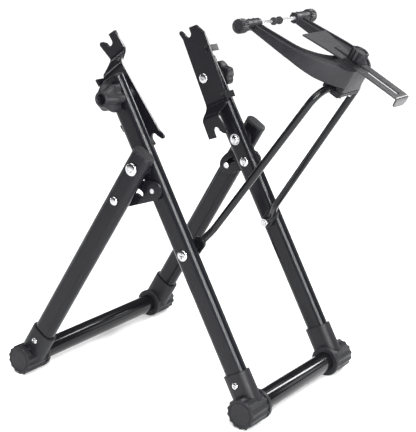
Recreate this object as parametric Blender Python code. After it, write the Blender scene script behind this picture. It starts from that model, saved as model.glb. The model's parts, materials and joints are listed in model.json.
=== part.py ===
"""Folding bench stand for truing bicycle wheels, modelled in metres with +Z up.

The wheel's axle sits in two dropout brackets at the top of the long uprights. The short legs
fold against the uprights about the pivot bolts. A swinging bail carries a caliper with two
feeler screws for side runout and a sliding plate for radial runout.

X points from the short legs to the uprights' feet, where the operator stands. Left is -Y and
right is +Y. The origin is on the floor, under the middle of the whole stand.
"""

import math

import bmesh
import bpy
from mathutils import Matrix, Vector
from mathutils.geometry import convex_hull_2d

MM = 0.001
GAP = 0.3 * MM
SIDES = (("left", -1), ("right", 1))

# Frame: feet, pivot and tube sections
FOOT_RADIUS = 19.5 * MM
PIVOT_X = -44.0 * MM
PIVOT_HEIGHT = 296.4 * MM
UPRIGHT_REACH = 151.0 * MM
LEG_REACH = 175.0 * MM
UPRIGHT_Y = 95.0 * MM
LEG_Y = 120.0 * MM
LEG_FOOT_Y = 131.7 * MM
TUBE_WIDTH = 30.0 * MM
TUBE_THICK = 17.0 * MM
TUBE_WALL = 1.5 * MM
BAR_RADIUS = 12.7 * MM

PIVOT_DROP = PIVOT_HEIGHT - FOOT_RADIUS
UPRIGHT_LEAN = math.atan2(UPRIGHT_REACH, PIVOT_DROP)
LEG_LEAN = math.atan2(LEG_REACH, PIVOT_DROP)
UPRIGHT_LENGTH = math.hypot(UPRIGHT_REACH, PIVOT_DROP)
LEG_LENGTH = math.hypot(LEG_REACH, PIVOT_DROP)
LEG_SPLAY = math.atan2(LEG_FOOT_Y - LEG_Y, LEG_LENGTH)
UPRIGHT_INNER = UPRIGHT_Y - TUBE_THICK / 2
UPRIGHT_OUTER = UPRIGHT_Y + TUBE_THICK / 2
LEG_OUTER = LEG_Y + TUBE_THICK / 2
UPRIGHT_TOP = 112.0 * MM
LEG_TOP = 20.5 * MM
CAP_THICK = 3.0 * MM

# Foot connectors: a flat-oval sleeve on a fluted barrel
SLEEVE_TOP = 46.0 * MM
SLEEVE_WALL = 3.0 * MM
TUBE_END = 22.0 * MM
BARREL_OUTWARD = 24.0 * MM
BARREL_INWARD = 17.0 * MM
BARREL_END_WALL = 4.0 * MM
FLUTES = 14
FLUTE_DEPTH = 1.1 * MM
FOOT_SCREW_UP = 32.0 * MM

# Fold mechanism: slotted stays between the uprights and the legs
PIN_DOWN_LEG = 50.0 * MM
STAY_DOWN_UPRIGHT = 32.0 * MM
STAY_INNER = 105.5 * MM
STAY_THICK = 4.0 * MM
STAY_HALF_WIDTH = 12.0 * MM
FOLD_ANGLE = math.radians(53)
PIN_RADIUS = 3.0 * MM
PIN_CLIP_RADIUS = 4.2 * MM
PIVOT_RADIUS = 4.0 * MM

# Dropout brackets and their star knobs
BRACKET_UP = 90.0 * MM
BRACKET_INNER = 74.7 * MM
BRACKET_THICK = 3.0 * MM
BRACKET_JOG = 12.4 * MM
BRACKET_FRONT = 25.5 * MM
BRACKET_REAR = -11.5 * MM
JOG_START = -37.0 * MM
JOG_END = -50.0 * MM
AXLE_RADIUS = 4.8 * MM
SWIVEL = {"left": math.pi - math.radians(7.7), "right": math.radians(4.2)}
LUG_LENGTH = 16.0 * MM
LUG_HEIGHT = 9.0 * MM
RELIEF_WIDTH = 4.0 * MM
RELIEF_HEIGHT = 8.0 * MM
RELIEF_DEPTH = 2.2 * MM
STAR_LOBES = 6
STAR_RADIUS = 16.8 * MM
STAR_LOBE = 2.3 * MM
STAR_FROM = 107.5 * MM
STAR_LOBES_TO = 117.0 * MM
STAR_TO = 132.0 * MM
STAR_NECK = 8.0 * MM
STAR_HUB = 9.3 * MM
STAR_HOLE = 6.3 * MM
STAR_BOLT_TO = 118.0 * MM
STAR_FLOOR = 123.0 * MM
STAR_TURN = {"left": 0, "right": math.radians(30)}

# Bail: a bent rod pivoted on the uprights' inner faces
BAIL_DOWN_UPRIGHT = 116.7 * MM
BAIL_LEAN = math.radians(36)
BAIL_LENGTH = 253.4 * MM
BAIL_RADIUS = 4.5 * MM
EYE_Y = 81.0 * MM
EYE_THICK = 4.0 * MM
EYE_RADIUS = 8.0 * MM
EYE_NECK = 13.0 * MM

# Caliper: x runs from the feeler axis to the crown, z is the fork's upward normal
CALIPER_TILT = math.radians(28.8)
CLAMP_X = 110.6 * MM
CLAMP_Z = -16.5 * MM
FORK_END_X = 124.0 * MM
THROAT_END_X = 90.0 * MM
FORK_INNER = 41.0 * MM
FORK_OUTER = 57.0 * MM
FORK_TIP_X = -7.0 * MM
FORK_TIP_OUTER = 54.0 * MM
BLOCK_FROM = 96.0 * MM
BLOCK_HALF = 20.0 * MM
CLAMP_THICK = 7.5 * MM
CLAMP_SCREW_X = 119.0 * MM
CLAMP_SCREW_Y = 12.0 * MM
CLAMP_SCREW_RADIUS = 1.8 * MM
BOSS_RADIUS = 6.6 * MM
FORK_TIP_LOW = -5.4 * MM
BOSS_FROM = 39.0 * MM
BOSS_TO = 68.0 * MM
FEELER_RADIUS = 2.1 * MM
TIP_RADIUS = 4.6 * MM
TIP_NECK = 2.8 * MM
FEELER_KNOB_RADIUS = 8.4 * MM
FEELER_KNOB_LENGTH = 12.0 * MM
CROWN_TOP = 14.0 * MM

# Radial gauge plate
GAUGE_THICK = 2.0 * MM
GAUGE_FRONT = 50.0 * MM
GAUGE_TAPER_END = 98.0 * MM
GAUGE_BACK = 182.0 * MM
GAUGE_FRONT_HALF = 25.5 * MM
GAUGE_HALF = 14.7 * MM
GAUGE_TAB = 12.0 * MM
SLOT_FROM = 84.0 * MM
SLOT_TO = 172.0 * MM
STUD_X = 111.0 * MM
STUD_RADIUS = 3.0 * MM
STUD_IN_KNOB = 10.0 * MM
GUIDE_HALF_LENGTH = 8.0 * MM
GUIDE_THICK = 1.7 * MM
GAUGE_KNOB_RADIUS = 10.5 * MM
GAUGE_KNOB_HEIGHT = 13.0 * MM

ROUND = 24
SMALL_ROUND = 12

PAINT = ((0.035, 0.036, 0.040), 0.32, 0.0)
GLOSS = ((0.025, 0.026, 0.028), 0.18, 0.0)
PLASTIC = ((0.045, 0.046, 0.050), 0.50, 0.0)
ZINC = ((0.72, 0.72, 0.74), 0.28, 1.0)
CHROME = ((0.82, 0.82, 0.84), 0.12, 1.0)
STEEL_GREY = ((0.20, 0.20, 0.205), 0.38, 0.7)
RUBBER = ((0.020, 0.020, 0.021), 0.65, 0.0)


def clear_scene():
    for obj in list(bpy.data.objects):
        bpy.data.objects.remove(obj, do_unlink=True)


def turn_y(angle):
    return Matrix.Rotation(angle, 4, "Y")


def down_tube(distance, lean):
    """Point on the pivot plane, this far from the pivot down a tube leaning toward +X."""
    return PIVOT + Vector((distance * math.sin(lean), 0, -distance * math.cos(lean)))


PIVOT = Vector((PIVOT_X, 0, PIVOT_HEIGHT))
FRONT_FOOT = down_tube(UPRIGHT_LENGTH, UPRIGHT_LEAN)
REAR_FOOT = down_tube(LEG_LENGTH, -LEG_LEAN)
BAIL_PIVOT = down_tube(BAIL_DOWN_UPRIGHT, UPRIGHT_LEAN)
STAY_PIVOT = down_tube(STAY_DOWN_UPRIGHT, UPRIGHT_LEAN)
LEG_PIN = down_tube(PIN_DOWN_LEG, -LEG_LEAN)
BRACKET_PIVOT = down_tube(-BRACKET_UP, UPRIGHT_LEAN)
BAIL_TOP = BAIL_PIVOT + turn_y(BAIL_LEAN) @ Vector((0, 0, BAIL_LENGTH))
CALIPER_ORIGIN = BAIL_TOP - turn_y(CALIPER_TILT) @ Vector((CLAMP_X, 0, CLAMP_Z))


# Outlines, as (x, y) points


def circle(radius, steps=ROUND, centre=(0, 0)):
    angles = [math.tau * i / steps for i in range(steps)]
    return [(centre[0] + radius * math.cos(a), centre[1] + radius * math.sin(a)) for a in angles]


def arc(centre, radius, start, end, steps):
    """Points on an arc between two angles in degrees, both ends included."""
    angles = [math.radians(start + (end - start) * i / steps) for i in range(steps + 1)]
    return [(centre[0] + radius * math.cos(a), centre[1] + radius * math.sin(a)) for a in angles]


def stadium(width, thick, steps=5):
    """Flat-oval outline, long side along x."""
    flat = (width - thick) / 2
    right = arc((flat, 0), thick / 2, -90, 90, steps)
    return right + arc((-flat, 0), thick / 2, 90, 270, steps)


def wavy(radius, depth, waves, steps, crest=0.0):
    """Round outline with sunken waves between crests, one of which points at the angle crest."""
    points = []
    for i in range(steps):
        turn = math.tau * i / steps
        r = radius - depth * math.sin(waves * turn / 2) ** 2
        points.append((r * math.cos(turn + crest), r * math.sin(turn + crest)))
    return points


def capsule(path, radius, steps=6):
    """Outline at a distance from a path of (x, y) points, with rounded ends."""
    left, right = [], []
    for i, (x, y) in enumerate(path):
        before = path[max(i - 1, 0)]
        after = path[min(i + 1, len(path) - 1)]
        heading = math.atan2(after[1] - before[1], after[0] - before[0])
        nx, ny = -math.sin(heading) * radius, math.cos(heading) * radius
        left.append((x + nx, y + ny))
        right.append((x - nx, y - ny))

    def end_cap(centre, start):
        heading = math.atan2(start[1] - centre[1], start[0] - centre[0])
        turn = math.degrees(heading)
        return arc(centre, radius, turn, turn + 180, steps)[1:-1]

    return right + end_cap(path[-1], right[-1]) + left[::-1] + end_cap(path[0], left[0])


# Solids, as bmeshes


def skin(loops, cyclic):
    """Solid from equal loops of 3D points: a closed ring of loops, or a stack with end faces."""
    bm = bmesh.new()
    rings = [[bm.verts.new(p) for p in loop] for loop in loops]
    pairs = list(zip(rings, rings[1:]))
    if cyclic:
        pairs.append((rings[-1], rings[0]))
    else:
        bm.faces.new(rings[0])
        bm.faces.new(rings[-1])
    for a, b in pairs:
        for i in range(len(a)):
            j = (i + 1) % len(a)
            bm.faces.new((a[i], a[j], b[j], b[i]))
    bmesh.ops.recalc_face_normals(bm, faces=bm.faces)
    return bm


def level(outline, z):
    return [(x, y, z) for x, y in outline]


def prism(outline, low, high):
    return skin([level(outline, low), level(outline, high)], cyclic=False)


def pipe(outer, inner, low, high):
    return skin([level(outer, low), level(outer, high), level(inner, high), level(inner, low)], cyclic=True)


def lathe(profile, steps=ROUND):
    """Solid turned about z from a closed profile of (radius, z) points."""
    bm = bmesh.new()
    rings = []
    for radius, z in profile:
        count = steps if radius > 0 else 1
        rings.append([bm.verts.new((*p, z)) for p in circle(radius, steps)[:count]])
    for a, b in zip(rings, rings[1:] + rings[:1]):
        if len(a) + len(b) == 2:
            continue
        for i in range(steps):
            j = (i + 1) % steps
            corners = (a[i % len(a)], a[j % len(a)], b[j % len(b)], b[i % len(b)])
            bm.faces.new(list(dict.fromkeys(corners)))
    bmesh.ops.recalc_face_normals(bm, faces=bm.faces)
    return bm


def box(low, high):
    outline = ((low[0], low[1]), (high[0], low[1]), (high[0], high[1]), (low[0], high[1]))
    return prism(outline, low[2], high[2])


def sweep(path, radius, steps=SMALL_ROUND):
    """Round rod along 3D points that stay in the YZ plane."""
    loops = []
    for i, point in enumerate(path):
        heading = (path[min(i + 1, len(path) - 1)] - path[max(i - 1, 0)]).normalized()
        across = heading.cross(Vector((1, 0, 0)))
        loops.append([point + Vector((x, 0, 0)) + across * y for x, y in circle(radius, steps)])
    return skin(loops, cyclic=False)


def lying(bm, side=1):
    """Turn a solid built along z so that z becomes the outward direction along Y on one side."""
    swap = Matrix(((1, 0, 0, 0), (0, 0, 1, 0), (0, 1, 0, 0), (0, 0, 0, 1)))
    bm.transform(swap)
    bmesh.ops.reverse_faces(bm, faces=bm.faces)
    return mirrored(bm, side)


def mirrored(bm, side):
    if side < 0:
        bm.transform(Matrix.Scale(-1, 4, Vector((0, 1, 0))))
        bmesh.ops.reverse_faces(bm, faces=bm.faces)
    return bm


# Objects


def add(name, bm, finish, matrix, parent=None):
    mesh = bpy.data.meshes.new(name)
    bm.to_mesh(mesh)
    bm.free()
    obj = bpy.data.objects.new(name, mesh)
    bpy.context.scene.collection.objects.link(obj)
    if finish is not None:
        mesh.materials.append(principled(name, *finish))
    if parent is not None:
        obj.parent = parent
        matrix = Matrix.Translation(-parent.location) @ matrix
    obj.matrix_basis = matrix
    return obj


def principled(name, color, roughness, metallic):
    material = bpy.data.materials.new(name)
    material.use_nodes = True
    shader = material.node_tree.nodes["Principled BSDF"]
    shader.inputs["Base Color"].default_value = (*color, 1)
    shader.inputs["Roughness"].default_value = roughness
    shader.inputs["Metallic"].default_value = metallic
    return material


def axis_empty(name, location):
    empty = bpy.data.objects.new(name, None)
    empty.empty_display_size = 20 * MM
    empty.location = location
    bpy.context.scene.collection.objects.link(empty)
    return empty


def combine(target, bm, operation, matrix=None):
    """Boolean a solid into an object, in world coordinates when no matrix is given."""
    tool = add("tool", bm, None, matrix or Matrix.Identity(4))
    modifier = target.modifiers.new(operation, "BOOLEAN")
    modifier.operation = operation
    modifier.object = tool
    bpy.context.view_layer.update()
    graph = bpy.context.evaluated_depsgraph_get()
    result = bpy.data.meshes.new_from_object(target.evaluated_get(graph))
    target.modifiers.clear()
    old = target.data
    target.data = result
    bpy.data.meshes.remove(old)
    bpy.data.objects.remove(tool, do_unlink=True)


def bore(target, point, radius, low, high, side):
    """Round hole along Y through an object, between two distances from the middle plane."""
    cutter = lying(prism(circle(radius, SMALL_ROUND), low, high), side)
    combine(target, cutter, "DIFFERENCE", Matrix.Translation(point))


def even_triangles(obj):
    """Triangulate an object's faces without slivers."""
    bm = bmesh.new()
    bm.from_mesh(obj.data)
    bmesh.ops.triangulate(bm, faces=bm.faces, quad_method="BEAUTY", ngon_method="BEAUTY")
    bmesh.ops.beautify_fill(bm, faces=bm.faces, edges=bm.edges)
    bm.to_mesh(obj.data)
    bm.free()


def smooth_all():
    for obj in bpy.context.scene.objects:
        if obj.type == "MESH":
            obj.data.shade_smooth()
            obj.data.set_sharp_from_angle(angle=math.radians(32))


# Fasteners, built along z with z = 0 at the middle plane of the stand


def pan_bolt(head_at, head_radius, head_height, shaft_radius, tip_at):
    """Bolt whose head grows away from its shaft; either may be the outer end."""
    grow = 1 if head_at > tip_at else -1
    crown = head_at + grow * head_height
    return lathe(
        [
            (0, tip_at),
            (shaft_radius, tip_at),
            (shaft_radius, head_at),
            (head_radius, head_at),
            (head_radius, head_at + grow * head_height * 0.45),
            (head_radius * 0.72, crown),
            (0, crown),
        ],
        SMALL_ROUND,
    )


def washer(inner, outer, low, high):
    return lathe([(inner, low), (outer, low), (outer, high), (inner, high)], SMALL_ROUND)


def hex_nut(across, bore_radius, low, high):
    outer = circle(across / math.sqrt(3), 6)
    points = 12
    ring = []
    for i in range(points):
        a, b = outer[i * 6 // points], outer[(i * 6 // points + 1) % 6]
        t = (i * 6 % points) / points
        ring.append((a[0] + (b[0] - a[0]) * t, a[1] + (b[1] - a[1]) * t))
    return pipe(ring, circle(bore_radius, points), low, high)


# Frame


def tube(length_up, length_down):
    outer = stadium(TUBE_WIDTH, TUBE_THICK)
    inner = stadium(TUBE_WIDTH - 2 * TUBE_WALL, TUBE_THICK - 2 * TUBE_WALL)
    return pipe(outer, inner, -length_down, length_up)


def tube_cap(top):
    """Plug with a flange that closes a tube's upper end."""
    plug_wall = TUBE_WALL + GAP
    plug = stadium(TUBE_WIDTH - 2 * plug_wall, TUBE_THICK - 2 * plug_wall)
    flange = stadium(TUBE_WIDTH, TUBE_THICK)
    crown = stadium(TUBE_WIDTH - 3 * MM, TUBE_THICK - 3 * MM)
    base = top + GAP
    loops = [
        level(plug, top - 8 * MM),
        level(plug, base),
        level(flange, base),
        level(flange, base + CAP_THICK / 2),
        level(crown, base + CAP_THICK),
    ]
    return skin(loops, cyclic=False)


def foot(name, side, centre, lean, splay, parent):
    """Fluted barrel on the crossbar's end with a sleeve up the tube; the barrel lies along Y."""
    crest = math.atan2(-math.cos(lean), math.sin(lean))
    steps = FLUTES * 3
    rim = wavy(FOOT_RADIUS - 1.2 * MM, FLUTE_DEPTH, FLUTES, steps, crest)
    body = wavy(FOOT_RADIUS, FLUTE_DEPTH, FLUTES, steps, crest)
    barrel = skin(
        [
            level(rim, -BARREL_INWARD),
            level(body, -BARREL_INWARD + 1.5 * MM),
            level(body, BARREL_OUTWARD - 1.2 * MM),
            level(rim, BARREL_OUTWARD),
        ],
        cyclic=False,
    )
    place = Matrix.Translation(centre) @ turn_y(lean)
    up_tube = place @ Matrix.Rotation(splay * side, 4, "X")
    obj = add(name, lying(barrel, side), PLASTIC, place, parent)
    sleeve = stadium(TUBE_WIDTH + 2 * SLEEVE_WALL, TUBE_THICK + 2 * SLEEVE_WALL)
    combine(obj, prism(sleeve, 4 * MM, SLEEVE_TOP), "UNION", up_tube)
    socket = stadium(TUBE_WIDTH + 2 * GAP, TUBE_THICK + 2 * GAP)
    combine(obj, prism(socket, TUBE_END - GAP, SLEEVE_TOP + 5 * MM), "DIFFERENCE", up_tube)
    bar_end = BARREL_OUTWARD - BARREL_END_WALL
    hole = prism(circle(BAR_RADIUS + GAP), -BARREL_INWARD - 5 * MM, bar_end)
    combine(obj, lying(hole, side), "DIFFERENCE", place)
    return obj


def foot_screw(name, side, foot_centre, lean, splay, parent, pieces):
    """Self-tapping screw through the sleeve into the tube, with its hole in both."""
    up = Vector((math.sin(lean), -side * math.sin(splay), math.cos(lean)))
    middle = foot_centre + up * FOOT_SCREW_UP
    face = TUBE_THICK / 2 + SLEEVE_WALL + GAP
    screw = pan_bolt(face, 4.2 * MM, 2.2 * MM, 2.0 * MM, TUBE_THICK / 2 - 5 * MM)
    add(name, lying(screw, side), ZINC, Matrix.Translation(middle), parent)
    for piece in pieces:
        bore(piece, middle, 2.0 * MM + GAP, TUBE_THICK / 2 - 6 * MM, face + 5 * MM, side)


def crossbar(name, centre, half_length, parent):
    bar = pipe(circle(BAR_RADIUS), circle(BAR_RADIUS - TUBE_WALL), -half_length, half_length)
    return add(name, lying(bar), GLOSS, Matrix.Translation(centre), parent)


def upright(word, side):
    lean = turn_y(-UPRIGHT_LEAN)
    place = Matrix.Translation((PIVOT_X, side * UPRIGHT_Y, PIVOT_HEIGHT)) @ lean
    obj = add("upright_" + word, tube(UPRIGHT_TOP, UPRIGHT_LENGTH - TUBE_END), PAINT, place)
    for point, radius in (
        (PIVOT, PIVOT_RADIUS),
        (STAY_PIVOT, PIN_RADIUS),
        (BAIL_PIVOT, PIN_RADIUS),
        (BRACKET_PIVOT, PIN_RADIUS),
    ):
        bore(obj, point, radius + GAP, UPRIGHT_INNER - 5 * MM, UPRIGHT_OUTER + 5 * MM, side)
    add("upright_cap_" + word, tube_cap(UPRIGHT_TOP), PLASTIC, place)
    centre = FRONT_FOOT + Vector((0, side * UPRIGHT_Y, 0))
    shoe = foot("front_foot_" + word, side, centre, -UPRIGHT_LEAN, 0, None)
    foot_screw("front_foot_screw_" + word, side, centre, -UPRIGHT_LEAN, 0, None, (obj, shoe))


def leg(word, side, parent):
    lean = turn_y(LEG_LEAN) @ Matrix.Rotation(LEG_SPLAY * side, 4, "X")
    place = Matrix.Translation((PIVOT_X, side * LEG_Y, PIVOT_HEIGHT)) @ lean
    length = LEG_LENGTH / math.cos(LEG_SPLAY)
    obj = add("leg_" + word, tube(LEG_TOP, length - TUBE_END), PAINT, place, parent)
    outside = LEG_OUTER + 10 * MM
    bore(obj, PIVOT, PIVOT_RADIUS + 1.5 * GAP, UPRIGHT_OUTER, outside, side)
    bore(obj, LEG_PIN, PIN_RADIUS + 1.5 * GAP, UPRIGHT_OUTER, outside, side)
    add("leg_cap_" + word, tube_cap(LEG_TOP), PLASTIC, place, parent)
    centre = REAR_FOOT + Vector((0, side * LEG_FOOT_Y, 0))
    shoe = foot("rear_foot_" + word, side, centre, LEG_LEAN, LEG_SPLAY, parent)
    foot_screw("rear_foot_screw_" + word, side, centre, LEG_LEAN, LEG_SPLAY, parent, (obj, shoe))


def pivot_hardware(word, side):
    """Bolt, cap nut and spacer of the fold pivot."""
    place = Matrix.Translation(PIVOT)
    bolt = pan_bolt(LEG_OUTER + 1 * MM, 8 * MM, 3 * MM, PIVOT_RADIUS, UPRIGHT_INNER - 2 * MM)
    add("pivot_bolt_" + word, lying(bolt, side), ZINC, place)
    reach = PIVOT_RADIUS + GAP
    face = UPRIGHT_INNER - GAP
    nut = lathe(
        [
            (0, face - 4 * MM),
            (5.5 * MM, face - 4 * MM),
            (7.5 * MM, face - 2 * MM),
            (7.5 * MM, face),
            (reach, face),
            (reach, face - 2.4 * MM),
            (0, face - 2.4 * MM),
        ],
        SMALL_ROUND,
    )
    add("pivot_nut_" + word, lying(nut, side), ZINC, place)
    spacer = washer(reach, 10 * MM, UPRIGHT_OUTER + GAP, STAY_INNER + 5.2 * MM)
    add("pivot_spacer_" + word, lying(spacer, side), PLASTIC, place)


# Fold stays


def leg_pin_from_stay(fold):
    """Leg pin seen from the stay's pivot at a fold angle, in the upright's leaning direction."""
    pin = turn_y(-fold) @ (LEG_PIN - PIVOT)
    return pin - (STAY_PIVOT - PIVOT)


def heading(vector):
    return math.atan2(vector.x, -vector.z)


# The stay turns this many times as far as the leg, so its slot ends on the line it starts on.
STAY_RATIO = (heading(leg_pin_from_stay(FOLD_ANGLE)) - heading(leg_pin_from_stay(0))) / FOLD_ANGLE


def stay(word, side, parent):
    """Slotted link; its slot is the path the leg's pin takes as the two turn together."""
    path = []
    steps = 6
    for i in range(steps + 1):
        fold = FOLD_ANGLE * i / steps
        point = turn_y(STAY_RATIO * fold) @ leg_pin_from_stay(fold)
        path.append((point.x, point.z))
    rims = [point for centre in path[::3] + [(0, 0)] for point in circle(STAY_HALF_WIDTH, 20, centre)]
    outline = [rims[i] for i in convex_hull_2d(rims)]
    low, high = STAY_INNER, STAY_INNER + STAY_THICK
    place = Matrix.Translation(STAY_PIVOT)
    obj = add("stay_" + word, lying(prism(outline, low, high), side), PAINT, place, parent)
    slot = capsule(path, PIN_RADIUS + 2 * GAP)
    combine(obj, lying(prism(slot, low - 2 * MM, high + 2 * MM), side), "DIFFERENCE", place)
    bore(obj, STAY_PIVOT, PIN_RADIUS + GAP, low - 2 * MM, high + 2 * MM, side)
    even_triangles(obj)


def stay_hardware(word, side, leg_axis):
    """Rivet of the stay on the upright, and the leg's pin that rides in the slot."""
    rivet_end = STAY_INNER + STAY_THICK + 1 * MM
    rivet = pan_bolt(UPRIGHT_INNER - GAP, 6.5 * MM, 2.6 * MM, PIN_RADIUS, rivet_end)
    add("stay_rivet_" + word, lying(rivet, side), ZINC, Matrix.Translation(STAY_PIVOT))
    head = LEG_OUTER + 2.5 * MM
    clip = STAY_INNER - GAP
    pin = lathe(
        [
            (0, clip - 1.2 * MM),
            (PIN_CLIP_RADIUS, clip - 1.2 * MM),
            (PIN_CLIP_RADIUS, clip),
            (PIN_RADIUS, clip),
            (PIN_RADIUS, head),
            (5.5 * MM, head),
            (5.5 * MM, head + 1.2 * MM),
            (4 * MM, head + 2.4 * MM),
            (0, head + 2.4 * MM),
        ],
        SMALL_ROUND,
    )
    add("stay_pin_" + word, lying(pin, side), ZINC, Matrix.Translation(LEG_PIN), leg_axis)


# Dropout brackets


def bracket_outline():
    """Plate seen from its outer side as (across, along); the straight end is at +along."""
    seat_up, seat_down = 62 * MM, -71.5 * MM
    upper_slot = arc((-0.5 * MM, seat_up), AXLE_RADIUS, 360, 180, 10)
    lower_slot = arc((0, seat_down), AXLE_RADIUS, 180, 0, 10)
    outline = [(BRACKET_FRONT, -41 * MM), (BRACKET_FRONT, 54.5 * MM), (16.5 * MM, 68.5 * MM)]
    outline += [(4.3 * MM, 69.3 * MM)] + upper_slot
    outline += [(-9 * MM, 68.5 * MM), (-11 * MM, 70 * MM), (-13.6 * MM, 68.5 * MM), (-14 * MM, 66.5 * MM)]
    outline += [(BRACKET_REAR, 58 * MM), (BRACKET_REAR, -43 * MM)]
    outline += [(-16.6 * MM, -54.5 * MM), (-16.2 * MM, -79 * MM), (-4.8 * MM, -80 * MM)] + lower_slot
    outline += [(10 * MM, -78 * MM), (12.6 * MM, -79.4 * MM), (15.2 * MM, -77.6 * MM)]
    outline += [(15.6 * MM, -75.5 * MM), (11.3 * MM, -53.5 * MM)]
    return outline


def bracket(word, side, parent):
    place = Matrix.Translation(BRACKET_PIVOT) @ turn_y(SWIVEL[word] - UPRIGHT_LEAN)
    inner, jogged = BRACKET_INNER, BRACKET_INNER - BRACKET_JOG
    thick = BRACKET_THICK
    along = ((inner, 72 * MM), (inner, JOG_START), (jogged, JOG_END), (jogged, -82 * MM))
    profile = list(along) + [(y + thick, z) for y, z in reversed(along)]
    loops = [[(x, y, z) for y, z in profile] for x in (-20 * MM, 30 * MM)]
    obj = add("bracket_" + word, mirrored(skin(loops, cyclic=False), side), PAINT, place, parent)
    plan = prism(bracket_outline(), jogged - 5 * MM, inner + 10 * MM)
    combine(obj, lying(plan, side), "INTERSECT", place)
    for middle in (33 * MM, -31.5 * MM):
        lug = box(
            (BRACKET_FRONT - thick, inner + thick / 2, middle - LUG_HEIGHT / 2),
            (BRACKET_FRONT, inner + thick + LUG_LENGTH, middle + LUG_HEIGHT / 2),
        )
        combine(obj, mirrored(lug, side), "UNION", place)
        relief = box(
            (BRACKET_FRONT - thick - RELIEF_WIDTH, inner - thick, middle - RELIEF_HEIGHT / 2),
            (BRACKET_FRONT - thick, inner + RELIEF_DEPTH, middle + RELIEF_HEIGHT / 2),
        )
        combine(obj, mirrored(relief, side), "DIFFERENCE", place)
    bore(obj, BRACKET_PIVOT, PIN_RADIUS + GAP, inner - 2 * MM, inner + 6 * MM, side)
    bolt = pan_bolt(inner - GAP, 6.6 * MM, 2.8 * MM, PIN_RADIUS, STAR_BOLT_TO)
    add("bracket_bolt_" + word, lying(bolt, side), ZINC, Matrix.Translation(BRACKET_PIVOT), parent)
    spacer = washer(PIN_RADIUS + GAP, 9 * MM, inner + thick + GAP, UPRIGHT_INNER - GAP)
    add("bracket_spacer_" + word, lying(spacer, side), PLASTIC, Matrix.Translation(BRACKET_PIVOT), parent)


def star_knob(word, side, parent):
    """Clamping knob: six lobes that taper outward to a hub with a deep hole."""
    steps = STAR_LOBES * 6
    bore_radius = PIN_RADIUS + GAP

    def lobed(radius, lobe, z):
        return level(wavy(radius + lobe, 2 * lobe, STAR_LOBES, steps), z)

    loops = [
        level(circle(bore_radius, steps), STAR_BOLT_TO + GAP),
        level(circle(bore_radius, steps), UPRIGHT_OUTER + GAP),
        level(circle(STAR_NECK, steps), UPRIGHT_OUTER + GAP),
        level(circle(STAR_NECK, steps), STAR_FROM),
        lobed(STAR_RADIUS - 2 * MM, STAR_LOBE, STAR_FROM),
        lobed(STAR_RADIUS, STAR_LOBE, STAR_FROM + 2 * MM),
        lobed(STAR_RADIUS, STAR_LOBE, STAR_LOBES_TO),
        lobed(STAR_RADIUS - 2.5 * MM, STAR_LOBE * 0.8, STAR_LOBES_TO + 6 * MM),
        lobed(STAR_HUB + 1.2 * MM, STAR_LOBE * 0.3, STAR_TO - 3 * MM),
        level(circle(STAR_HUB, steps), STAR_TO),
        level(circle(STAR_HOLE, steps), STAR_TO),
        level(circle(STAR_HOLE, steps), STAR_FLOOR),
    ]
    knob = lying(skin(loops, cyclic=False), side)
    place = Matrix.Translation(BRACKET_PIVOT) @ turn_y(STAR_TURN[word])
    add("star_knob_" + word, knob, PLASTIC, place, parent)


# Bail


def rounded_path(corners, radius, steps=5):
    """3D path through corners, each inner one replaced by an arc."""
    path = [corners[0]]
    for before, corner, after in zip(corners, corners[1:], corners[2:]):
        back = (before - corner).normalized()
        on = (after - corner).normalized()
        half = back.angle(on) / 2
        reach = radius / math.tan(half)
        centre = corner + (back + on).normalized() * (radius / math.sin(half))
        start = (corner + back * reach - centre).normalized()
        end = (corner + on * reach - centre).normalized()
        path += [centre + radius * start.slerp(end, i / steps) for i in range(steps + 1)]
    path.append(corners[-1])
    return path


def bail(parent):
    knee = Vector((0, 69.0 * MM, 34 * MM))
    shoulder = Vector((0, 50.5 * MM, BAIL_LENGTH))
    start = Vector((0, EYE_Y, EYE_NECK))
    half = [start, knee, shoulder]
    corners = half + [Vector((0, -p.y, p.z)) for p in reversed(half)]
    path = rounded_path(corners, 20 * MM)
    place = Matrix.Translation(BAIL_PIVOT) @ turn_y(BAIL_LEAN)
    obj = add("bail_rod", sweep(path, BAIL_RADIUS), GLOSS, place, parent)
    for _, side in SIDES:
        flat = capsule([(0, 0), (0, EYE_NECK + 2 * MM)], EYE_RADIUS)
        eye = prism(flat, EYE_Y - EYE_THICK / 2, EYE_Y + EYE_THICK / 2)
        combine(obj, lying(eye, side), "UNION", place)
        trim = box((-20 * MM, EYE_Y + EYE_THICK / 2, -20 * MM), (20 * MM, EYE_Y + 20 * MM, 40 * MM))
        combine(obj, mirrored(trim, side), "DIFFERENCE", place)
        bore(obj, BAIL_PIVOT, PIN_RADIUS + GAP, EYE_Y - 20 * MM, EYE_Y + 10 * MM, side)


def bail_hardware(word, side):
    place = Matrix.Translation(BAIL_PIVOT)
    eye_inner, eye_outer = EYE_Y - EYE_THICK / 2, EYE_Y + EYE_THICK / 2
    bolt = pan_bolt(UPRIGHT_OUTER + GAP, 7 * MM, 2.8 * MM, PIN_RADIUS, eye_inner - 7 * MM)
    add("bail_bolt_" + word, lying(bolt, side), ZINC, place)
    nut = hex_nut(10 * MM, PIN_RADIUS + GAP, eye_inner - 6 * MM, eye_inner - 1 * MM)
    add("bail_nut_" + word, lying(nut, side), ZINC, place)
    spacer = washer(PIN_RADIUS + GAP, 7 * MM, eye_outer + GAP, UPRIGHT_INNER - GAP)
    add("bail_spacer_" + word, lying(spacer, side), ZINC, place)


# Caliper


def half_ellipse(centre_x, reach_x, reach_y, stop_x, steps):
    """Points from +y round the crown to -y, cut off flat at stop_x."""
    limit = math.acos(min(1, (stop_x - centre_x) / reach_x))
    right = [math.pi / 2 - (math.pi / 2 - limit) * i / steps for i in range(steps + 1)]
    upper = [(centre_x + reach_x * math.cos(a), reach_y * math.sin(a)) for a in right]
    return upper + [(x, -y) for x, y in reversed(upper) if y > 1e-6]


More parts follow.
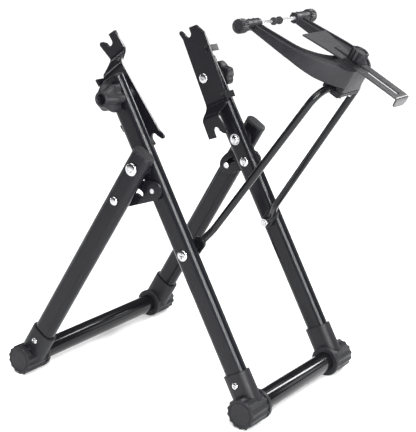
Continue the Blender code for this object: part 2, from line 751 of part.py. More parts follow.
def fork_outline():
    outer = half_ellipse(55 * MM, 74 * MM, FORK_OUTER, FORK_END_X, 10)
    inner = half_ellipse(50 * MM, 40 * MM, FORK_INNER - 1 * MM, THROAT_END_X, 10)
    tips = [(FORK_TIP_X, -FORK_TIP_OUTER), (FORK_TIP_X, -FORK_INNER)]
    mirror_tips = [(x, -y) for x, y in reversed(tips)]
    return outer + tips + inner[::-1] + mirror_tips


def fork(place, parent):
    outline = fork_outline()
    obj = add("caliper_fork", prism(outline, -20 * MM, 20 * MM), PLASTIC, place, parent)
    side_view = [
        (-12 * MM, FORK_TIP_LOW),
        (62 * MM, -6 * MM),
        (95 * MM, -9 * MM),
        (130 * MM, -9 * MM),
        (130 * MM, CROWN_TOP),
        (104 * MM, CROWN_TOP),
        (60 * MM, 8 * MM),
        (12 * MM, 3.6 * MM),
        (-12 * MM, 3.6 * MM),
    ]
    profile = skin([[(x, y, z) for x, z in side_view] for y in (-70 * MM, 70 * MM)], cyclic=False)
    combine(obj, profile, "INTERSECT", place)
    block = box((BLOCK_FROM, -BLOCK_HALF, CLAMP_Z + GAP), (FORK_END_X, BLOCK_HALF, CROWN_TOP - 2 * MM))
    combine(obj, block, "UNION", place)
    for _, side in SIDES:
        boss = prism(circle(BOSS_RADIUS), BOSS_FROM, BOSS_TO)
        combine(obj, lying(boss, side), "UNION", place)
        hole = prism(circle(FEELER_RADIUS + GAP, SMALL_ROUND), BOSS_FROM - 5 * MM, BOSS_TO + 5 * MM)
        combine(obj, lying(hole, side), "DIFFERENCE", place)
    groove = lying(prism(circle(BAIL_RADIUS + GAP), -80 * MM, 80 * MM))
    combine(obj, groove, "DIFFERENCE", place @ Matrix.Translation((CLAMP_X, 0, CLAMP_Z)))
    stud_hole = prism(circle(STUD_RADIUS + GAP, SMALL_ROUND), 0, CROWN_TOP + 5 * MM)
    combine(obj, stud_hole, "DIFFERENCE", place @ Matrix.Translation((STUD_X, 0, 0)))
    return obj


def rod_clamp(place, parent, fork_body):
    """Lower cap that holds the crown on the bail, with its two screws."""
    low, high = CLAMP_Z - CLAMP_THICK, CLAMP_Z - GAP
    outline = ((98 * MM, high), (98 * MM, -21 * MM), (102 * MM, low), (FORK_END_X - 3 * MM, low))
    outline += ((FORK_END_X, -21 * MM), (FORK_END_X, high))
    loops = [[(x, y, z) for x, z in outline] for y in (-BLOCK_HALF, BLOCK_HALF)]
    cap = add("rod_clamp", skin(loops, cyclic=False), PLASTIC, place, parent)
    groove = lying(prism(circle(BAIL_RADIUS + GAP), -80 * MM, 80 * MM))
    combine(cap, groove, "DIFFERENCE", place @ Matrix.Translation((CLAMP_X, 0, CLAMP_Z)))
    screw_radius = CLAMP_SCREW_RADIUS
    for word, side in SIDES:
        seat = place @ Matrix.Translation((CLAMP_SCREW_X, side * CLAMP_SCREW_Y, 0))
        for piece in (cap, fork_body):
            hole = prism(circle(screw_radius + GAP, SMALL_ROUND), -40 * MM, CLAMP_Z + 12 * MM)
            combine(piece, hole, "DIFFERENCE", seat)
        screw = pan_bolt(low - GAP, 3.4 * MM, 2.0 * MM, screw_radius, CLAMP_Z + 11 * MM)
        add("clamp_screw_" + word, screw, ZINC, seat, parent)


def knurled(radius, depth, low, high, bore_radius, blind_to):
    """Round knob with a knurled rim and a blind bore from its low end."""
    ridge_count = 12
    steps = ridge_count * 3
    ridges = wavy(radius, depth, ridge_count, steps)
    rim = wavy(radius - 1.2 * MM, depth, ridge_count, steps)
    loops = [
        level(circle(bore_radius, steps), blind_to),
        level(circle(bore_radius, steps), low),
        level(rim, low),
        level(ridges, low + 1.2 * MM),
        level(ridges, high - 1.2 * MM),
        level(rim, high),
    ]
    return skin(loops, cyclic=False)


def feeler(word, side, place, slide_axis, knob_axis):
    """Feeler rod with its tip, and the knob that screws it in and out."""
    knob_low = BOSS_TO + GAP
    rod_end = knob_low + 8 * MM
    knob_high = knob_low + FEELER_KNOB_LENGTH
    bore_radius = FEELER_RADIUS + GAP
    knob = knurled(FEELER_KNOB_RADIUS, 0.5 * MM, knob_low, knob_high, bore_radius, rod_end + GAP)
    add("feeler_knob_" + word, lying(knob, side), PLASTIC, place, knob_axis)
    tip_bore, tip_depth, tip_end = 1.2 * MM, 7 * MM, 11 * MM
    rod = lathe(
        [
            (0, tip_depth + GAP),
            (tip_bore, tip_depth + GAP),
            (tip_bore, tip_end),
            (FEELER_RADIUS, tip_end),
            (FEELER_RADIUS, rod_end),
            (0, rod_end),
        ],
        SMALL_ROUND,
    )
    add("feeler_rod_" + word, lying(rod, side), CHROME, place, slide_axis)
    sleeve = tip_bore + GAP
    tip = lathe(
        [
            (0, 0.6 * MM),
            (1.4 * MM, 0.6 * MM),
            (2.2 * MM, 2.5 * MM),
            (TIP_RADIUS, 4.5 * MM),
            (TIP_RADIUS, 7.5 * MM),
            (TIP_NECK, 9 * MM),
            (TIP_NECK, tip_end - GAP),
            (sleeve, tip_end - GAP),
            (sleeve, tip_depth),
            (0, tip_depth),
        ],
        SMALL_ROUND,
    )
    add("feeler_tip_" + word, lying(tip, side), RUBBER, place, slide_axis)


def gauge_plate(place, parent):
    """Flat plate with a wide front edge, a long slot and a bent-down finger tab."""
    low = CROWN_TOP + GAP
    high = low + GAUGE_THICK
    outline = [(GAUGE_FRONT, -GAUGE_FRONT_HALF), (GAUGE_TAPER_END, -GAUGE_HALF), (GAUGE_BACK, -GAUGE_HALF)]
    outline += [(x, -y) for x, y in reversed(outline)]
    obj = add("gauge_plate", prism(outline, low, high), STEEL_GREY, place, parent)
    corner = GAUGE_TAB / 2
    tab = [(-GAUGE_HALF, high), (-GAUGE_HALF, high - corner)]
    tab += arc((-GAUGE_HALF + corner, high - GAUGE_TAB + corner), corner, 180, 270, 6)[1:]
    tab += [(-y, z) for y, z in reversed(tab)]
    loops = [[(x, y, z) for y, z in tab] for x in (GAUGE_BACK - GAUGE_THICK, GAUGE_BACK)]
    combine(obj, skin(loops, cyclic=False), "UNION", place)
    slot = capsule([(SLOT_FROM, 0), (SLOT_TO, 0)], STUD_RADIUS + GAP)
    combine(obj, prism(slot, low - 3 * MM, high + 3 * MM), "DIFFERENCE", place)


def gauge_clamp(place, parent, knob_axis):
    """Stud in the crown, the guide whose tongue runs in the plate's slot, and the thumb knob."""
    plate_top = CROWN_TOP + GAP + GAUGE_THICK
    seat = place @ Matrix.Translation((STUD_X, 0, 0))
    guide_top = plate_top + GAP + GUIDE_THICK
    knob_low = guide_top + GAP
    stud_top = knob_low + STUD_IN_KNOB
    stud = prism(circle(STUD_RADIUS, SMALL_ROUND), GAP, stud_top)
    add("gauge_stud", stud, ZINC, seat, parent)
    tongue, outer = STUD_RADIUS, GAUGE_HALF + 1 * MM
    section = [(-outer, guide_top), (-outer, plate_top + GAP), (-tongue, plate_top + GAP)]
    section += [(-tongue, CROWN_TOP + 2 * GAP)]
    section += [(-y, z) for y, z in reversed(section)]
    loops = [[(x, y, z) for y, z in section] for x in (-GUIDE_HALF_LENGTH, GUIDE_HALF_LENGTH)]
    guide = add("gauge_guide", skin(loops, cyclic=False), PLASTIC, seat, parent)
    hole = prism(circle(STUD_RADIUS + GAP, SMALL_ROUND), plate_top - 5 * MM, plate_top + 9 * MM)
    combine(guide, hole, "DIFFERENCE", seat)
    knob_high = knob_low + GAUGE_KNOB_HEIGHT
    bore_radius = STUD_RADIUS + GAP
    knob = knurled(GAUGE_KNOB_RADIUS, 0.6 * MM, knob_low, knob_high, bore_radius, stud_top + GAP)
    add("gauge_knob", knob, PLASTIC, seat, knob_axis)


def build():
    clear_scene()
    leg_axis = axis_empty("leg_axis", PIVOT)
    bail_axis = axis_empty("bail_axis", BAIL_PIVOT)
    caliper_axis = axis_empty("caliper_axis", BAIL_TOP)
    for word, side in SIDES:
        upright(word, side)
        leg(word, side, leg_axis)
        pivot_hardware(word, side)
        stay(word, side, axis_empty("stay_axis_" + word, STAY_PIVOT))
        stay_hardware(word, side, leg_axis)
        bracket(word, side, axis_empty("bracket_axis_" + word, BRACKET_PIVOT))
        star_knob(word, side, axis_empty("star_knob_axis_" + word, BRACKET_PIVOT))
        bail_hardware(word, side)
    reach = BARREL_OUTWARD - BARREL_END_WALL - 1 * MM
    crossbar("crossbar_front", FRONT_FOOT, UPRIGHT_Y + reach, None)
    crossbar("crossbar_rear", REAR_FOOT, LEG_FOOT_Y + reach, leg_axis)
    bail(bail_axis)
    place = Matrix.Translation(CALIPER_ORIGIN) @ turn_y(CALIPER_TILT)
    fork_body = fork(place, caliper_axis)
    rod_clamp(place, caliper_axis, fork_body)
    for word, side in SIDES:
        slide_axis = axis_empty("feeler_axis_" + word, CALIPER_ORIGIN)
        feeler(word, side, place, slide_axis, axis_empty("feeler_knob_axis_" + word, CALIPER_ORIGIN))
    gauge_plate(place, axis_empty("gauge_axis", CALIPER_ORIGIN))
    stud_foot = CALIPER_ORIGIN + turn_y(CALIPER_TILT) @ Vector((STUD_X, 0, 0))
    gauge_clamp(place, caliper_axis, axis_empty("gauge_knob_axis", stud_foot))
    smooth_all()


build()
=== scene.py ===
"""The looks of the folding wheel-truing stand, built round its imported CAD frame.

Every CAD node is stood for by a finely modelled piece that rides on the same body. Joint
positions and directions come from the frame's record; sizes are named below, in metres.
Left is -Y and right is +Y; the pieces of one side are built for +Y and mirrored for -Y.
"""

import json
import math

import bmesh
import bpy
from mathutils import Matrix, Vector
from mathutils.geometry import convex_hull_2d


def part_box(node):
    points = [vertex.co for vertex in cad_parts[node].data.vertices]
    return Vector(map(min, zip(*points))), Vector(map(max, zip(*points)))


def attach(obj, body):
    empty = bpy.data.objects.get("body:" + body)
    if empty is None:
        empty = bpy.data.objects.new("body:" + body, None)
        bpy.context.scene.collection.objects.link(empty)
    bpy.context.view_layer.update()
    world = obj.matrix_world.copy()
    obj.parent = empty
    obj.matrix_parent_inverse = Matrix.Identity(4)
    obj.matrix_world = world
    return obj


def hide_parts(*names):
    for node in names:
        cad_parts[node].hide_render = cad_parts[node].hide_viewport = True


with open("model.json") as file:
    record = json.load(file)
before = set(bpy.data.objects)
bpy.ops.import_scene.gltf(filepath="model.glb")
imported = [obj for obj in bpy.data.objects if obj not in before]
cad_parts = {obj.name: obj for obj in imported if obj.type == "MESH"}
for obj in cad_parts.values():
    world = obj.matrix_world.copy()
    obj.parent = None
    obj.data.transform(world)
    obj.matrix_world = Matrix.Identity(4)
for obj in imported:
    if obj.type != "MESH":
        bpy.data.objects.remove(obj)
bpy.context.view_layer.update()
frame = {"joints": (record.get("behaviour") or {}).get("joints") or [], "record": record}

MM = 0.001
SIDES = (("left", -1), ("right", 1))
JOINTS = {joint["name"]: joint for joint in frame["joints"]}


def joint_point(name):
    """A joint's position, moved to the middle plane of the stand."""
    x, _, z = JOINTS[name]["pos_m"]
    return Vector((x, 0, z))


def box_middle(node):
    low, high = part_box(node)
    return (low + high) / 2


def turn_y(angle):
    return Matrix.Rotation(angle, 4, "Y")


# Places, from the frame
PIVOT = joint_point("leg_fold")
STAY_PIVOT = joint_point("stay_turn_left")
BAIL_PIVOT = joint_point("bail_swing")
BAIL_TOP = joint_point("caliper_tilt")
BRACKET_PIVOT = joint_point("bracket_swivel_left")
CALIPER_ORIGIN = joint_point("feeler_turn_left")
FRONT_FOOT = box_middle("crossbar_front")
REAR_FOOT = box_middle("crossbar_rear")
UPRIGHT_Y = box_middle("upright_right").y
LEG_Y = 120.0 * MM
LEG_FOOT_Y = 131.7 * MM

UPRIGHT_LENGTH = (FRONT_FOOT - PIVOT).length
LEG_LENGTH = (REAR_FOOT - PIVOT).length
UPRIGHT_LEAN = math.atan2(FRONT_FOOT.x - PIVOT.x, PIVOT.z - FRONT_FOOT.z)
LEG_LEAN = math.atan2(PIVOT.x - REAR_FOOT.x, PIVOT.z - REAR_FOOT.z)
LEG_SPLAY = math.atan2(LEG_FOOT_Y - LEG_Y, LEG_LENGTH)
LEG_PIN = PIVOT + turn_y(LEG_LEAN) @ Vector((0, 0, -50 * MM))
BAIL_LENGTH = (BAIL_TOP - BAIL_PIVOT).length
BAIL_LEAN = math.atan2(BAIL_TOP.x - BAIL_PIVOT.x, BAIL_TOP.z - BAIL_PIVOT.z)
CALIPER_TILT = math.asin(-JOINTS["gauge_slide"]["axis"][2])
SWIVEL = {"left": math.pi - math.radians(7.7), "right": math.radians(4.2)}

# Sizes
GAP = 0.3 * MM
BOLT_RADIUS = 3 * MM
BOLT_HOLE = 3.3 * MM
TUBE_WIDTH = 30 * MM
TUBE_THICK = 17 * MM
TUBE_WALL = 1.5 * MM
UPRIGHT_TOP = 112 * MM
LEG_TOP = 20.5 * MM
UPRIGHT_INNER = UPRIGHT_Y - TUBE_THICK / 2
UPRIGHT_OUTER = UPRIGHT_Y + TUBE_THICK / 2
LEG_OUTER = LEG_Y + TUBE_THICK / 2
BAR_RADIUS = 12.7 * MM
FOOT_RADIUS = 19.5 * MM
BARREL_OUTWARD = 24 * MM
BARREL_INWARD = 17 * MM
SLEEVE_WALL = 3 * MM
SLEEVE_TOP = 46 * MM
TUBE_END = 22 * MM
STAY_INNER = 105.5 * MM
STAY_THICK = 4 * MM
STAY_HALF_WIDTH = 12 * MM
STAY_SLOT = 3.6 * MM
PIN_HEAD = 5.5 * MM
PIN_CLIP = 4.2 * MM
BRACKET_INNER = 74.7 * MM
BRACKET_THICK = 3 * MM
BRACKET_JOG = 12.4 * MM
BRACKET_FRONT = 25.5 * MM
AXLE_SLOT = 4.8 * MM
KNOB_END = 132 * MM
KNOB_BORE_END = 118.3 * MM
BRACKET_BOLT_END = 118 * MM
BAIL_RADIUS = 4.5 * MM
BAIL_BEND = 20 * MM
EYE_RADIUS = 8 * MM
EYE_Y = 81 * MM
EYE_THICK = 4 * MM
CLAMP_X = 110.6 * MM
CLAMP_Z = -16.5 * MM
CLAMP_FRONT = 98 * MM
CLAMP_SCREW_X = 119 * MM
CLAMP_SCREW_Y = 12 * MM
STUD_X = 111 * MM
CROWN_TOP = 14 * MM
CROWN_BACK = 124 * MM
CROWN_HALF = 20 * MM
GAUGE_LOW = CROWN_TOP + GAP
GAUGE_HIGH = GAUGE_LOW + 2 * MM
GAUGE_BACK = 182 * MM
GAUGE_HALF = 14.7 * MM
BOSS_TO = 68 * MM
BOSS_RADIUS = 6.6 * MM


# Materials


class Shader:
    """A Principled BSDF whose colour, roughness and bump come from noise in object space."""

    def __init__(self, name, roughness, metallic=0.0):
        self.material = bpy.data.materials.new(name)
        self.material.use_nodes = True
        self.nodes = self.material.node_tree.nodes
        self.links = self.material.node_tree.links
        self.bsdf = self.nodes["Principled BSDF"]
        self.bsdf.inputs["Roughness"].default_value = roughness
        self.bsdf.inputs["Metallic"].default_value = metallic
        self.coordinates = self.nodes.new("ShaderNodeTexCoord").outputs["Object"]

    def node(self, kind, **inputs):
        made = self.nodes.new(kind)
        for key, value in inputs.items():
            made.inputs[key.replace("_", " ")].default_value = value
        return made

    def noise(self, scale, detail=3.0, stretch=None):
        """Noise with this many cells per metre, drawn out along an axis when stretch is given."""
        made = self.node("ShaderNodeTexNoise", Scale=scale, Detail=detail)
        source = self.coordinates
        if stretch is not None:
            mapping = self.node("ShaderNodeMapping", Scale=stretch)
            self.links.new(source, mapping.inputs["Vector"])
            source = mapping.outputs["Vector"]
        self.links.new(source, made.inputs["Vector"])
        return made.outputs["Fac"]

    def remap(self, value, low, high, out_low, out_high):
        made = self.nodes.new("ShaderNodeMapRange")
        for index, number in enumerate((low, high, out_low, out_high)):
            made.inputs[index + 1].default_value = number
        self.links.new(value, made.inputs[0])
        return made.outputs[0]

    def multiply(self, first, second):
        made = self.nodes.new("ShaderNodeMath")
        made.operation = "MULTIPLY"
        self.links.new(first, made.inputs[0])
        self.links.new(second, made.inputs[1])
        return made.outputs[0]

    def edges(self, radius, gain):
        """1 near the edges of the shape, 0 on its flats."""
        bevel = self.node("ShaderNodeBevel", Radius=radius)
        bevel.samples = 6
        geometry = self.nodes.new("ShaderNodeNewGeometry")
        dot = self.nodes.new("ShaderNodeVectorMath")
        dot.operation = "DOT_PRODUCT"
        self.links.new(bevel.outputs["Normal"], dot.inputs[0])
        self.links.new(geometry.outputs["Normal"], dot.inputs[1])
        return self.remap(dot.outputs["Value"], 1.0, 1.0 - 1.0 / gain, 0.0, 1.0)

    def blend(self, factor, first, second):
        """Mix of two colours, either of which may be a socket."""
        made = self.nodes.new("ShaderNodeMix")
        made.data_type = "RGBA"
        self.links.new(factor, made.inputs["Factor"])
        for name, value in (("A", first), ("B", second)):
            socket = next(s for s in made.inputs if s.name == name and s.type == "RGBA")
            if isinstance(value, tuple):
                socket.default_value = (*value, 1)
            else:
                self.links.new(value, socket)
        return next(s for s in made.outputs if s.type == "RGBA")

    def color(self, socket):
        self.links.new(socket, self.bsdf.inputs["Base Color"])

    def roughness(self, socket):
        self.links.new(socket, self.bsdf.inputs["Roughness"])

    def bump(self, height, distance, strength):
        made = self.node("ShaderNodeBump", Strength=strength, Distance=distance)
        self.links.new(height, made.inputs["Height"])
        self.links.new(made.outputs["Normal"], self.bsdf.inputs["Normal"])


def painted_metal(name, color, edge_wear_and_highlight, low, high, specular):
    """Black paint with a faint orange peel; its edges are lightened, partly as wear and partly as a painted
    highlight where edges catch the light.
    """
    made = Shader(name, (low + high) / 2)
    made.bsdf.inputs["Specular IOR Level"].default_value = specular
    drift = made.remap(made.noise(40, 4), 0.3, 0.7, 0, 1)
    deep = tuple(0.8 * c for c in color)
    base = made.blend(drift, deep, color)
    scuffs = made.remap(made.noise(420, 5), 0.42, 0.66, 0, 1)
    # Lighter edges broken up by noise: partly paint wear, partly a painted highlight along edges that catch
    # the light.
    wear = made.multiply(made.edges(0.7 * MM, 5), scuffs)
    made.color(made.blend(wear, base, edge_wear_and_highlight))
    made.roughness(made.remap(made.noise(30, 2), 0.3, 0.7, low, high))
    made.bump(made.noise(120, 2), 0.01 * MM, 0.1)
    return made.material


def moulded_plastic(name, color, low, high):
    """Satin moulded plastic: fine spark-eroded grain, faint flow marks, rubbed edges."""
    made = Shader(name, (low + high) / 2)
    drift = made.remap(made.noise(60, 4), 0.3, 0.7, 0, 1)
    base = made.blend(drift, tuple(0.8 * c for c in color), tuple(1.15 * c for c in color))
    rubbed = made.remap(made.noise(300, 4), 0.4, 0.7, 0.2, 1)
    wear = made.multiply(made.edges(0.6 * MM, 6), rubbed)
    made.color(made.blend(wear, base, tuple(2.2 * c for c in color)))
    made.roughness(made.remap(made.noise(220, 4), 0.3, 0.7, low, high))
    made.bump(made.noise(1700, 2), 0.05 * MM, 0.6)
    made.bsdf.inputs["Specular IOR Level"].default_value = 0.23
    return made.material


def bare_metal(name, color, low, high, stretch, metallic=1.0, specular=0.5):
    """Plated or ground metal with fine lines along one axis."""
    made = Shader(name, (low + high) / 2, metallic)
    made.bsdf.inputs["Specular IOR Level"].default_value = specular
    brushed = made.noise(500, 4, stretch)
    cloud = made.remap(made.noise(90, 3), 0.3, 0.7, 0, 1)
    made.color(made.blend(cloud, tuple(0.82 * c for c in color), color))
    made.roughness(made.remap(brushed, 0.3, 0.7, low, high))
    made.bump(brushed, 0.02 * MM, 0.4)
    return made.material


def make_materials():
    plastic = (0.007, 0.007, 0.009)
    rubber = moulded_plastic("soft_black_rubber", (0.010, 0.010, 0.011), 0.6, 0.8)
    grey = (0.025, 0.025, 0.027)
    return {
        # The satin paint's light edge colour is mostly a painted highlight on lit edges, with a little wear.
        "black_paint": painted_metal(
            "satin_black_paint", (0.006, 0.006, 0.008), (0.15, 0.15, 0.155), 0.15, 0.19, 0.17
        ),
        "gloss_black_paint": painted_metal(
            "gloss_black_paint", (0.005, 0.005, 0.006), (0.04, 0.04, 0.045), 0.10, 0.15, 0.2
        ),
        "moulded_plastic": moulded_plastic("moulded_black_plastic", plastic, 0.42, 0.56),
        "zinc_steel": bare_metal("zinc_plated_steel", (0.52, 0.52, 0.54), 0.10, 0.24, (1, 1, 1)),
        "chrome": bare_metal("chrome_plate", (0.90, 0.90, 0.92), 0.14, 0.26, (1, 0.1, 1), 0.8),
        "tip_rubber": rubber,
        "grey_steel": bare_metal("grey_steel_plate", grey, 0.25, 0.34, (0.06, 1, 1), 0.0, 0.28),
    }


MATERIALS = make_materials()
BODY_OF = {n: b for b, members in frame["record"]["behaviour"]["bodies"].items() for n in members}
SLOT_OF = {p["node"]: p["material_slot"] for p in frame["record"]["subparts"]}


# Outlines, as (x, y) points


def circle(radius, steps=64, centre=(0, 0)):
    angles = [math.tau * i / steps for i in range(steps)]
    return [(centre[0] + radius * math.cos(a), centre[1] + radius * math.sin(a)) for a in angles]


def arc(centre, radius, start, end, steps):
    angles = [math.radians(start + (end - start) * i / steps) for i in range(steps + 1)]
    return [(centre[0] + radius * math.cos(a), centre[1] + radius * math.sin(a)) for a in angles]


def quarter(steps):
    """(sine, cosine) pairs over a quarter turn, for rounded edges."""
    angles = [math.pi / 2 * i / steps for i in range(steps + 1)]
    return [(math.sin(a), math.cos(a)) for a in angles]


def stadium(width, thick):
    """Outline of a flat-sided tube: two straight sides joined by half circles."""
    flat, steps = (width - thick) / 2, 16
    right = arc((flat, 0), thick / 2, -90, 90, steps)
    return right + arc((-flat, 0), thick / 2, 90, 270, steps)


def softened(points, reach, steps=4, closed=True, least=20):
    """The outline with each real corner replaced by a curve that starts reach away from it."""
    out = []
    count = len(points)
    for i, point in enumerate(points):
        if not closed and i in (0, count - 1):
            out.append(tuple(point))
            continue
        p = Vector(point)
        a, b = Vector(points[i - 1]), Vector(points[(i + 1) % count])
        into, away = p - a, b - p
        if min(into.length, away.length) < 1e-9:
            continue
        if into.angle(away) < math.radians(least):
            out.append(tuple(p))
            continue
        r = min(reach, 0.45 * into.length, 0.45 * away.length)
        start, end = p - into.normalized() * r, p + away.normalized() * r
        for k in range(steps + 1):
            t = k / steps
            out.append(tuple(start * (1 - t) ** 2 + p * 2 * t * (1 - t) + end * t * t))
    return out


def signed_area(points):
    return sum(a[0] * b[1] - b[0] * a[1] for a, b in zip(points, points[1:] + points[:1])) / 2


def inset(points, distance):
    """The outline moved inward by a distance, with mitred corners."""
    turn = 1 if signed_area(points) > 0 else -1
    out = []
    for i, point in enumerate(points):
        p = Vector(point)
        a, b = Vector(points[i - 1]), Vector(points[(i + 1) % len(points)])
        d1, d2 = (p - a).normalized(), (b - p).normalized()
        n1, n2 = Vector((-d1.y, d1.x)) * turn, Vector((-d2.y, d2.x)) * turn
        mid = n1 + n2
        if mid.length < 1e-6:
            mid = n1
        mid.normalize()
        out.append(tuple(p + mid * distance / max(0.5, mid.dot(n1))))
    return out


def wavy(radius, depth, waves, steps, crest=0.0, sharpness=1.0):
    """Round outline with hollows between crests; a higher sharpness makes narrower crests."""
    points = []
    for i in range(steps):
        turn = math.tau * i / steps
        hollow = abs(math.sin(waves * turn / 2)) ** (2 / sharpness)
        r = radius - depth * hollow
        points.append((r * math.cos(turn + crest), r * math.sin(turn + crest)))
    return points


def capsule(path, radius, steps=16):
    """Outline at a distance from a path of points, with rounded ends."""
    left, right = [], []
    for i, (x, y) in enumerate(path):
        before, after = path[max(i - 1, 0)], path[min(i + 1, len(path) - 1)]
        heading = math.atan2(after[1] - before[1], after[0] - before[0])
        nx, ny = -math.sin(heading) * radius, math.cos(heading) * radius
        left.append((x + nx, y + ny))
        right.append((x - nx, y - ny))

    def end_cap(centre, start):
        turn = math.degrees(math.atan2(start[1] - centre[1], start[0] - centre[0]))
        return arc(centre, radius, turn, turn + 180, steps)[1:-1]

    return right + end_cap(path[-1], right[-1]) + left[::-1] + end_cap(path[0], left[0])


# Solids, as bmeshes


def skin(loops, cyclic=False):
    """Closed solid through a row of loops, capped at its ends or joined back to its start."""
    bm = bmesh.new()
    rings = [[bm.verts.new(p) for p in loop] for loop in loops]
    pairs = list(zip(rings, rings[1:]))
    if cyclic:
        pairs.append((rings[-1], rings[0]))
    else:
        bm.faces.new(rings[0])
        bm.faces.new(rings[-1])
    for a, b in pairs:
        for i in range(len(a)):
            j = (i + 1) % len(a)
            bm.faces.new((a[i], a[j], b[j], b[i]))
    bmesh.ops.recalc_face_normals(bm, faces=bm.faces)
    return bm


def level(outline, z):
    return [(x, y, z) for x, y in outline]


def slab(outline, low, high, edge=0.0):
    """Flat solid between two heights, its upper and lower edges rounded."""
    if edge <= 0:
        return skin([level(outline, low), level(outline, high)])
    loops = [(edge * (1 - sine), edge * (1 - cosine)) for sine, cosine in quarter(3)]
    rise = [level(inset(outline, d), low + z) for d, z in loops]
    fall = [level(inset(outline, d), high - z) for d, z in reversed(loops)]
    return skin(rise + fall)


def lathe(profile, steps=64, soft=0.0):
    """Solid turned about z from a closed profile of (radius, z) points."""
    if soft > 0:
        profile = lathe_profile(profile, soft)
    bm = bmesh.new()
    rings = []
    for radius, z in profile:
        count = steps if radius > 1e-7 else 1
        rings.append([bm.verts.new((*p, z)) for p in circle(max(radius, 0), steps)[:count]])
    for a, b in zip(rings, rings[1:] + rings[:1]):
        if len(a) + len(b) == 2:
            continue
        for i in range(steps):
            j = (i + 1) % steps
            corners = (a[i % len(a)], a[j % len(a)], b[j % len(b)], b[i % len(b)])
            bm.faces.new(list(dict.fromkeys(corners)))
    bmesh.ops.recalc_face_normals(bm, faces=bm.faces)
    return bm


def lathe_profile(profile, soft):
    """Rounds the corners that lie off the axis."""
    rounded = softened(profile, soft, 3)
    kept = []
    for point in rounded:
        near_axis = any(p[0] == 0 and (Vector(p) - Vector(point)).length < soft * 1.01 for p in profile)
        if not near_axis:
            kept.append(point)
    on_axis = [tuple(p) for p in profile if p[0] == 0]
    return [on_axis[0]] + kept + on_axis[1:] if on_axis else kept


def box(low, high, edge=0.0):
    """Block between two corners, its edges rounded when edge is given."""
    outline = ((low[0], low[1]), (high[0], low[1]), (high[0], high[1]), (low[0], high[1]))
    if edge > 0:
        return slab(softened(outline, edge, 3), low[2], high[2], edge)
    return slab(outline, low[2], high[2])


def sweep(path, radius):
    """Round rod along 3D points that stay in the YZ plane."""
    loops = []
    for i, point in enumerate(path):
        heading = (path[min(i + 1, len(path) - 1)] - path[max(i - 1, 0)]).normalized()
        across = heading.cross(Vector((1, 0, 0)))
        loops.append([point + Vector((x, 0, 0)) + across * y for x, y in circle(radius, 28)])
    return skin(loops)


def mirrored(bm, side):
    if side < 0:
        bm.transform(Matrix.Scale(-1, 4, Vector((0, 1, 0))))
        bmesh.ops.reverse_faces(bm, faces=bm.faces)
    return bm


def lying(bm, side=1):
    """Turn a solid built along z so that z becomes the outward direction along Y on one side."""
    bm.transform(Matrix(((1, 0, 0, 0), (0, 0, 1, 0), (0, 1, 0, 0), (0, 0, 0, 1))))
    bmesh.ops.reverse_faces(bm, faces=bm.faces)
    return mirrored(bm, side)


def moved(bm, matrix):
    bm.transform(matrix)
    return bm


def solid(bm, name="solid"):
    mesh = bpy.data.meshes.new(name)
    bm.to_mesh(mesh)
    bm.free()
    obj = bpy.data.objects.new(name, mesh)
    bpy.context.scene.collection.objects.link(obj)
    return obj


def add(bm):
    return "UNION", bm


def cut(bm):
    return "DIFFERENCE", bm


def carve(bm, operations):
    """Boolean a list of (operation, solid) into a solid, in order."""
    target = solid(bm)
    tools = []
    for operation, tool_bm in operations:
        tool = solid(tool_bm, "tool")
        tools.append(tool)
        modifier = target.modifiers.new(operation, "BOOLEAN")
        modifier.operation = operation
        modifier.solver = "MANIFOLD"
        modifier.object = tool
    bpy.context.view_layer.update()
    graph = bpy.context.evaluated_depsgraph_get()
    out = bmesh.new()
    result = target.evaluated_get(graph).to_mesh()
    out.from_mesh(result)
    for obj in (target, *tools):
        bpy.data.objects.remove(obj, do_unlink=True)
    bmesh.ops.remove_doubles(out, verts=out.verts, dist=1e-6)
    bmesh.ops.dissolve_degenerate(out, edges=out.edges, dist=2e-6)
    return out


def joined(*parts):
    """Several solids as the shells of one mesh."""
    out = bmesh.new()
    for part in parts:
        mesh = bpy.data.meshes.new("part")
        part.to_mesh(mesh)
        part.free()
        out.from_mesh(mesh)
        bpy.data.meshes.remove(mesh)
    return out


def piece(node, bm, matrix=None, bevel=0.0, sharp=33):
    """The visible piece that stands for one CAD node and rides on its body."""
    if matrix is not None:
        bm.transform(matrix)
    mesh = bpy.data.meshes.new(node + "_look")
    bm.to_mesh(mesh)
    bm.free()
    obj = bpy.data.objects.new(node + "_look", mesh)
    bpy.context.scene.collection.objects.link(obj)
    mesh.materials.append(MATERIALS[SLOT_OF[node]])
    mesh.shade_smooth()
    mesh.set_sharp_from_angle(angle=math.radians(sharp))
    if bevel > 0:
        modifier = obj.modifiers.new("soft_edges", "BEVEL")
        modifier.width = bevel
        modifier.segments = 3
        modifier.limit_method = "ANGLE"
        modifier.angle_limit = math.radians(40)
        modifier.use_clamp_overlap = True
        modifier.harden_normals = True
    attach(obj, BODY_OF[node])
    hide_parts(node)


# Fasteners, along z


def dome(radius, height, at, grow, flat):
    """Profile points of a domed head, from its rim to the axis."""
    return [(flat + (radius - flat) * c, at + grow * height * s) for s, c in quarter(8)]


def screw_head(head_at, radius, height, shaft, tip_at, recess):
    """Domed bolt; recess cuts a cross or a hexagon into the head."""
    grow = 1 if head_at > tip_at else -1
    skirt = head_at + grow * height * 0.25
    profile = [(0, tip_at), (shaft, tip_at), (shaft, head_at), (radius, head_at)]
    profile += dome(radius, height * 0.75, skirt, grow, radius * 0.25)
    profile += [(0, head_at + grow * height)]
    bm = lathe(profile, 48)
    top = head_at + grow * height
    depth = height * 0.75
    low, high = sorted((top + grow * MM, top - grow * depth))
    cuts = []
    if recess == "cross":
        arm, half = radius * 0.56, radius * 0.12
        for a, b in ((arm, half), (half, arm)):
            cuts.append(cut(box((-a, -b, low), (a, b, high))))
    else:
        cuts.append(cut(slab(circle(radius * 0.42, 6), low, high)))
    return carve(bm, cuts)


def ring(inner, outer, low, high, soft=0.4 * MM):
    return lathe([(inner, low), (outer, low), (outer, high), (inner, high)], 48, soft)


# Frame


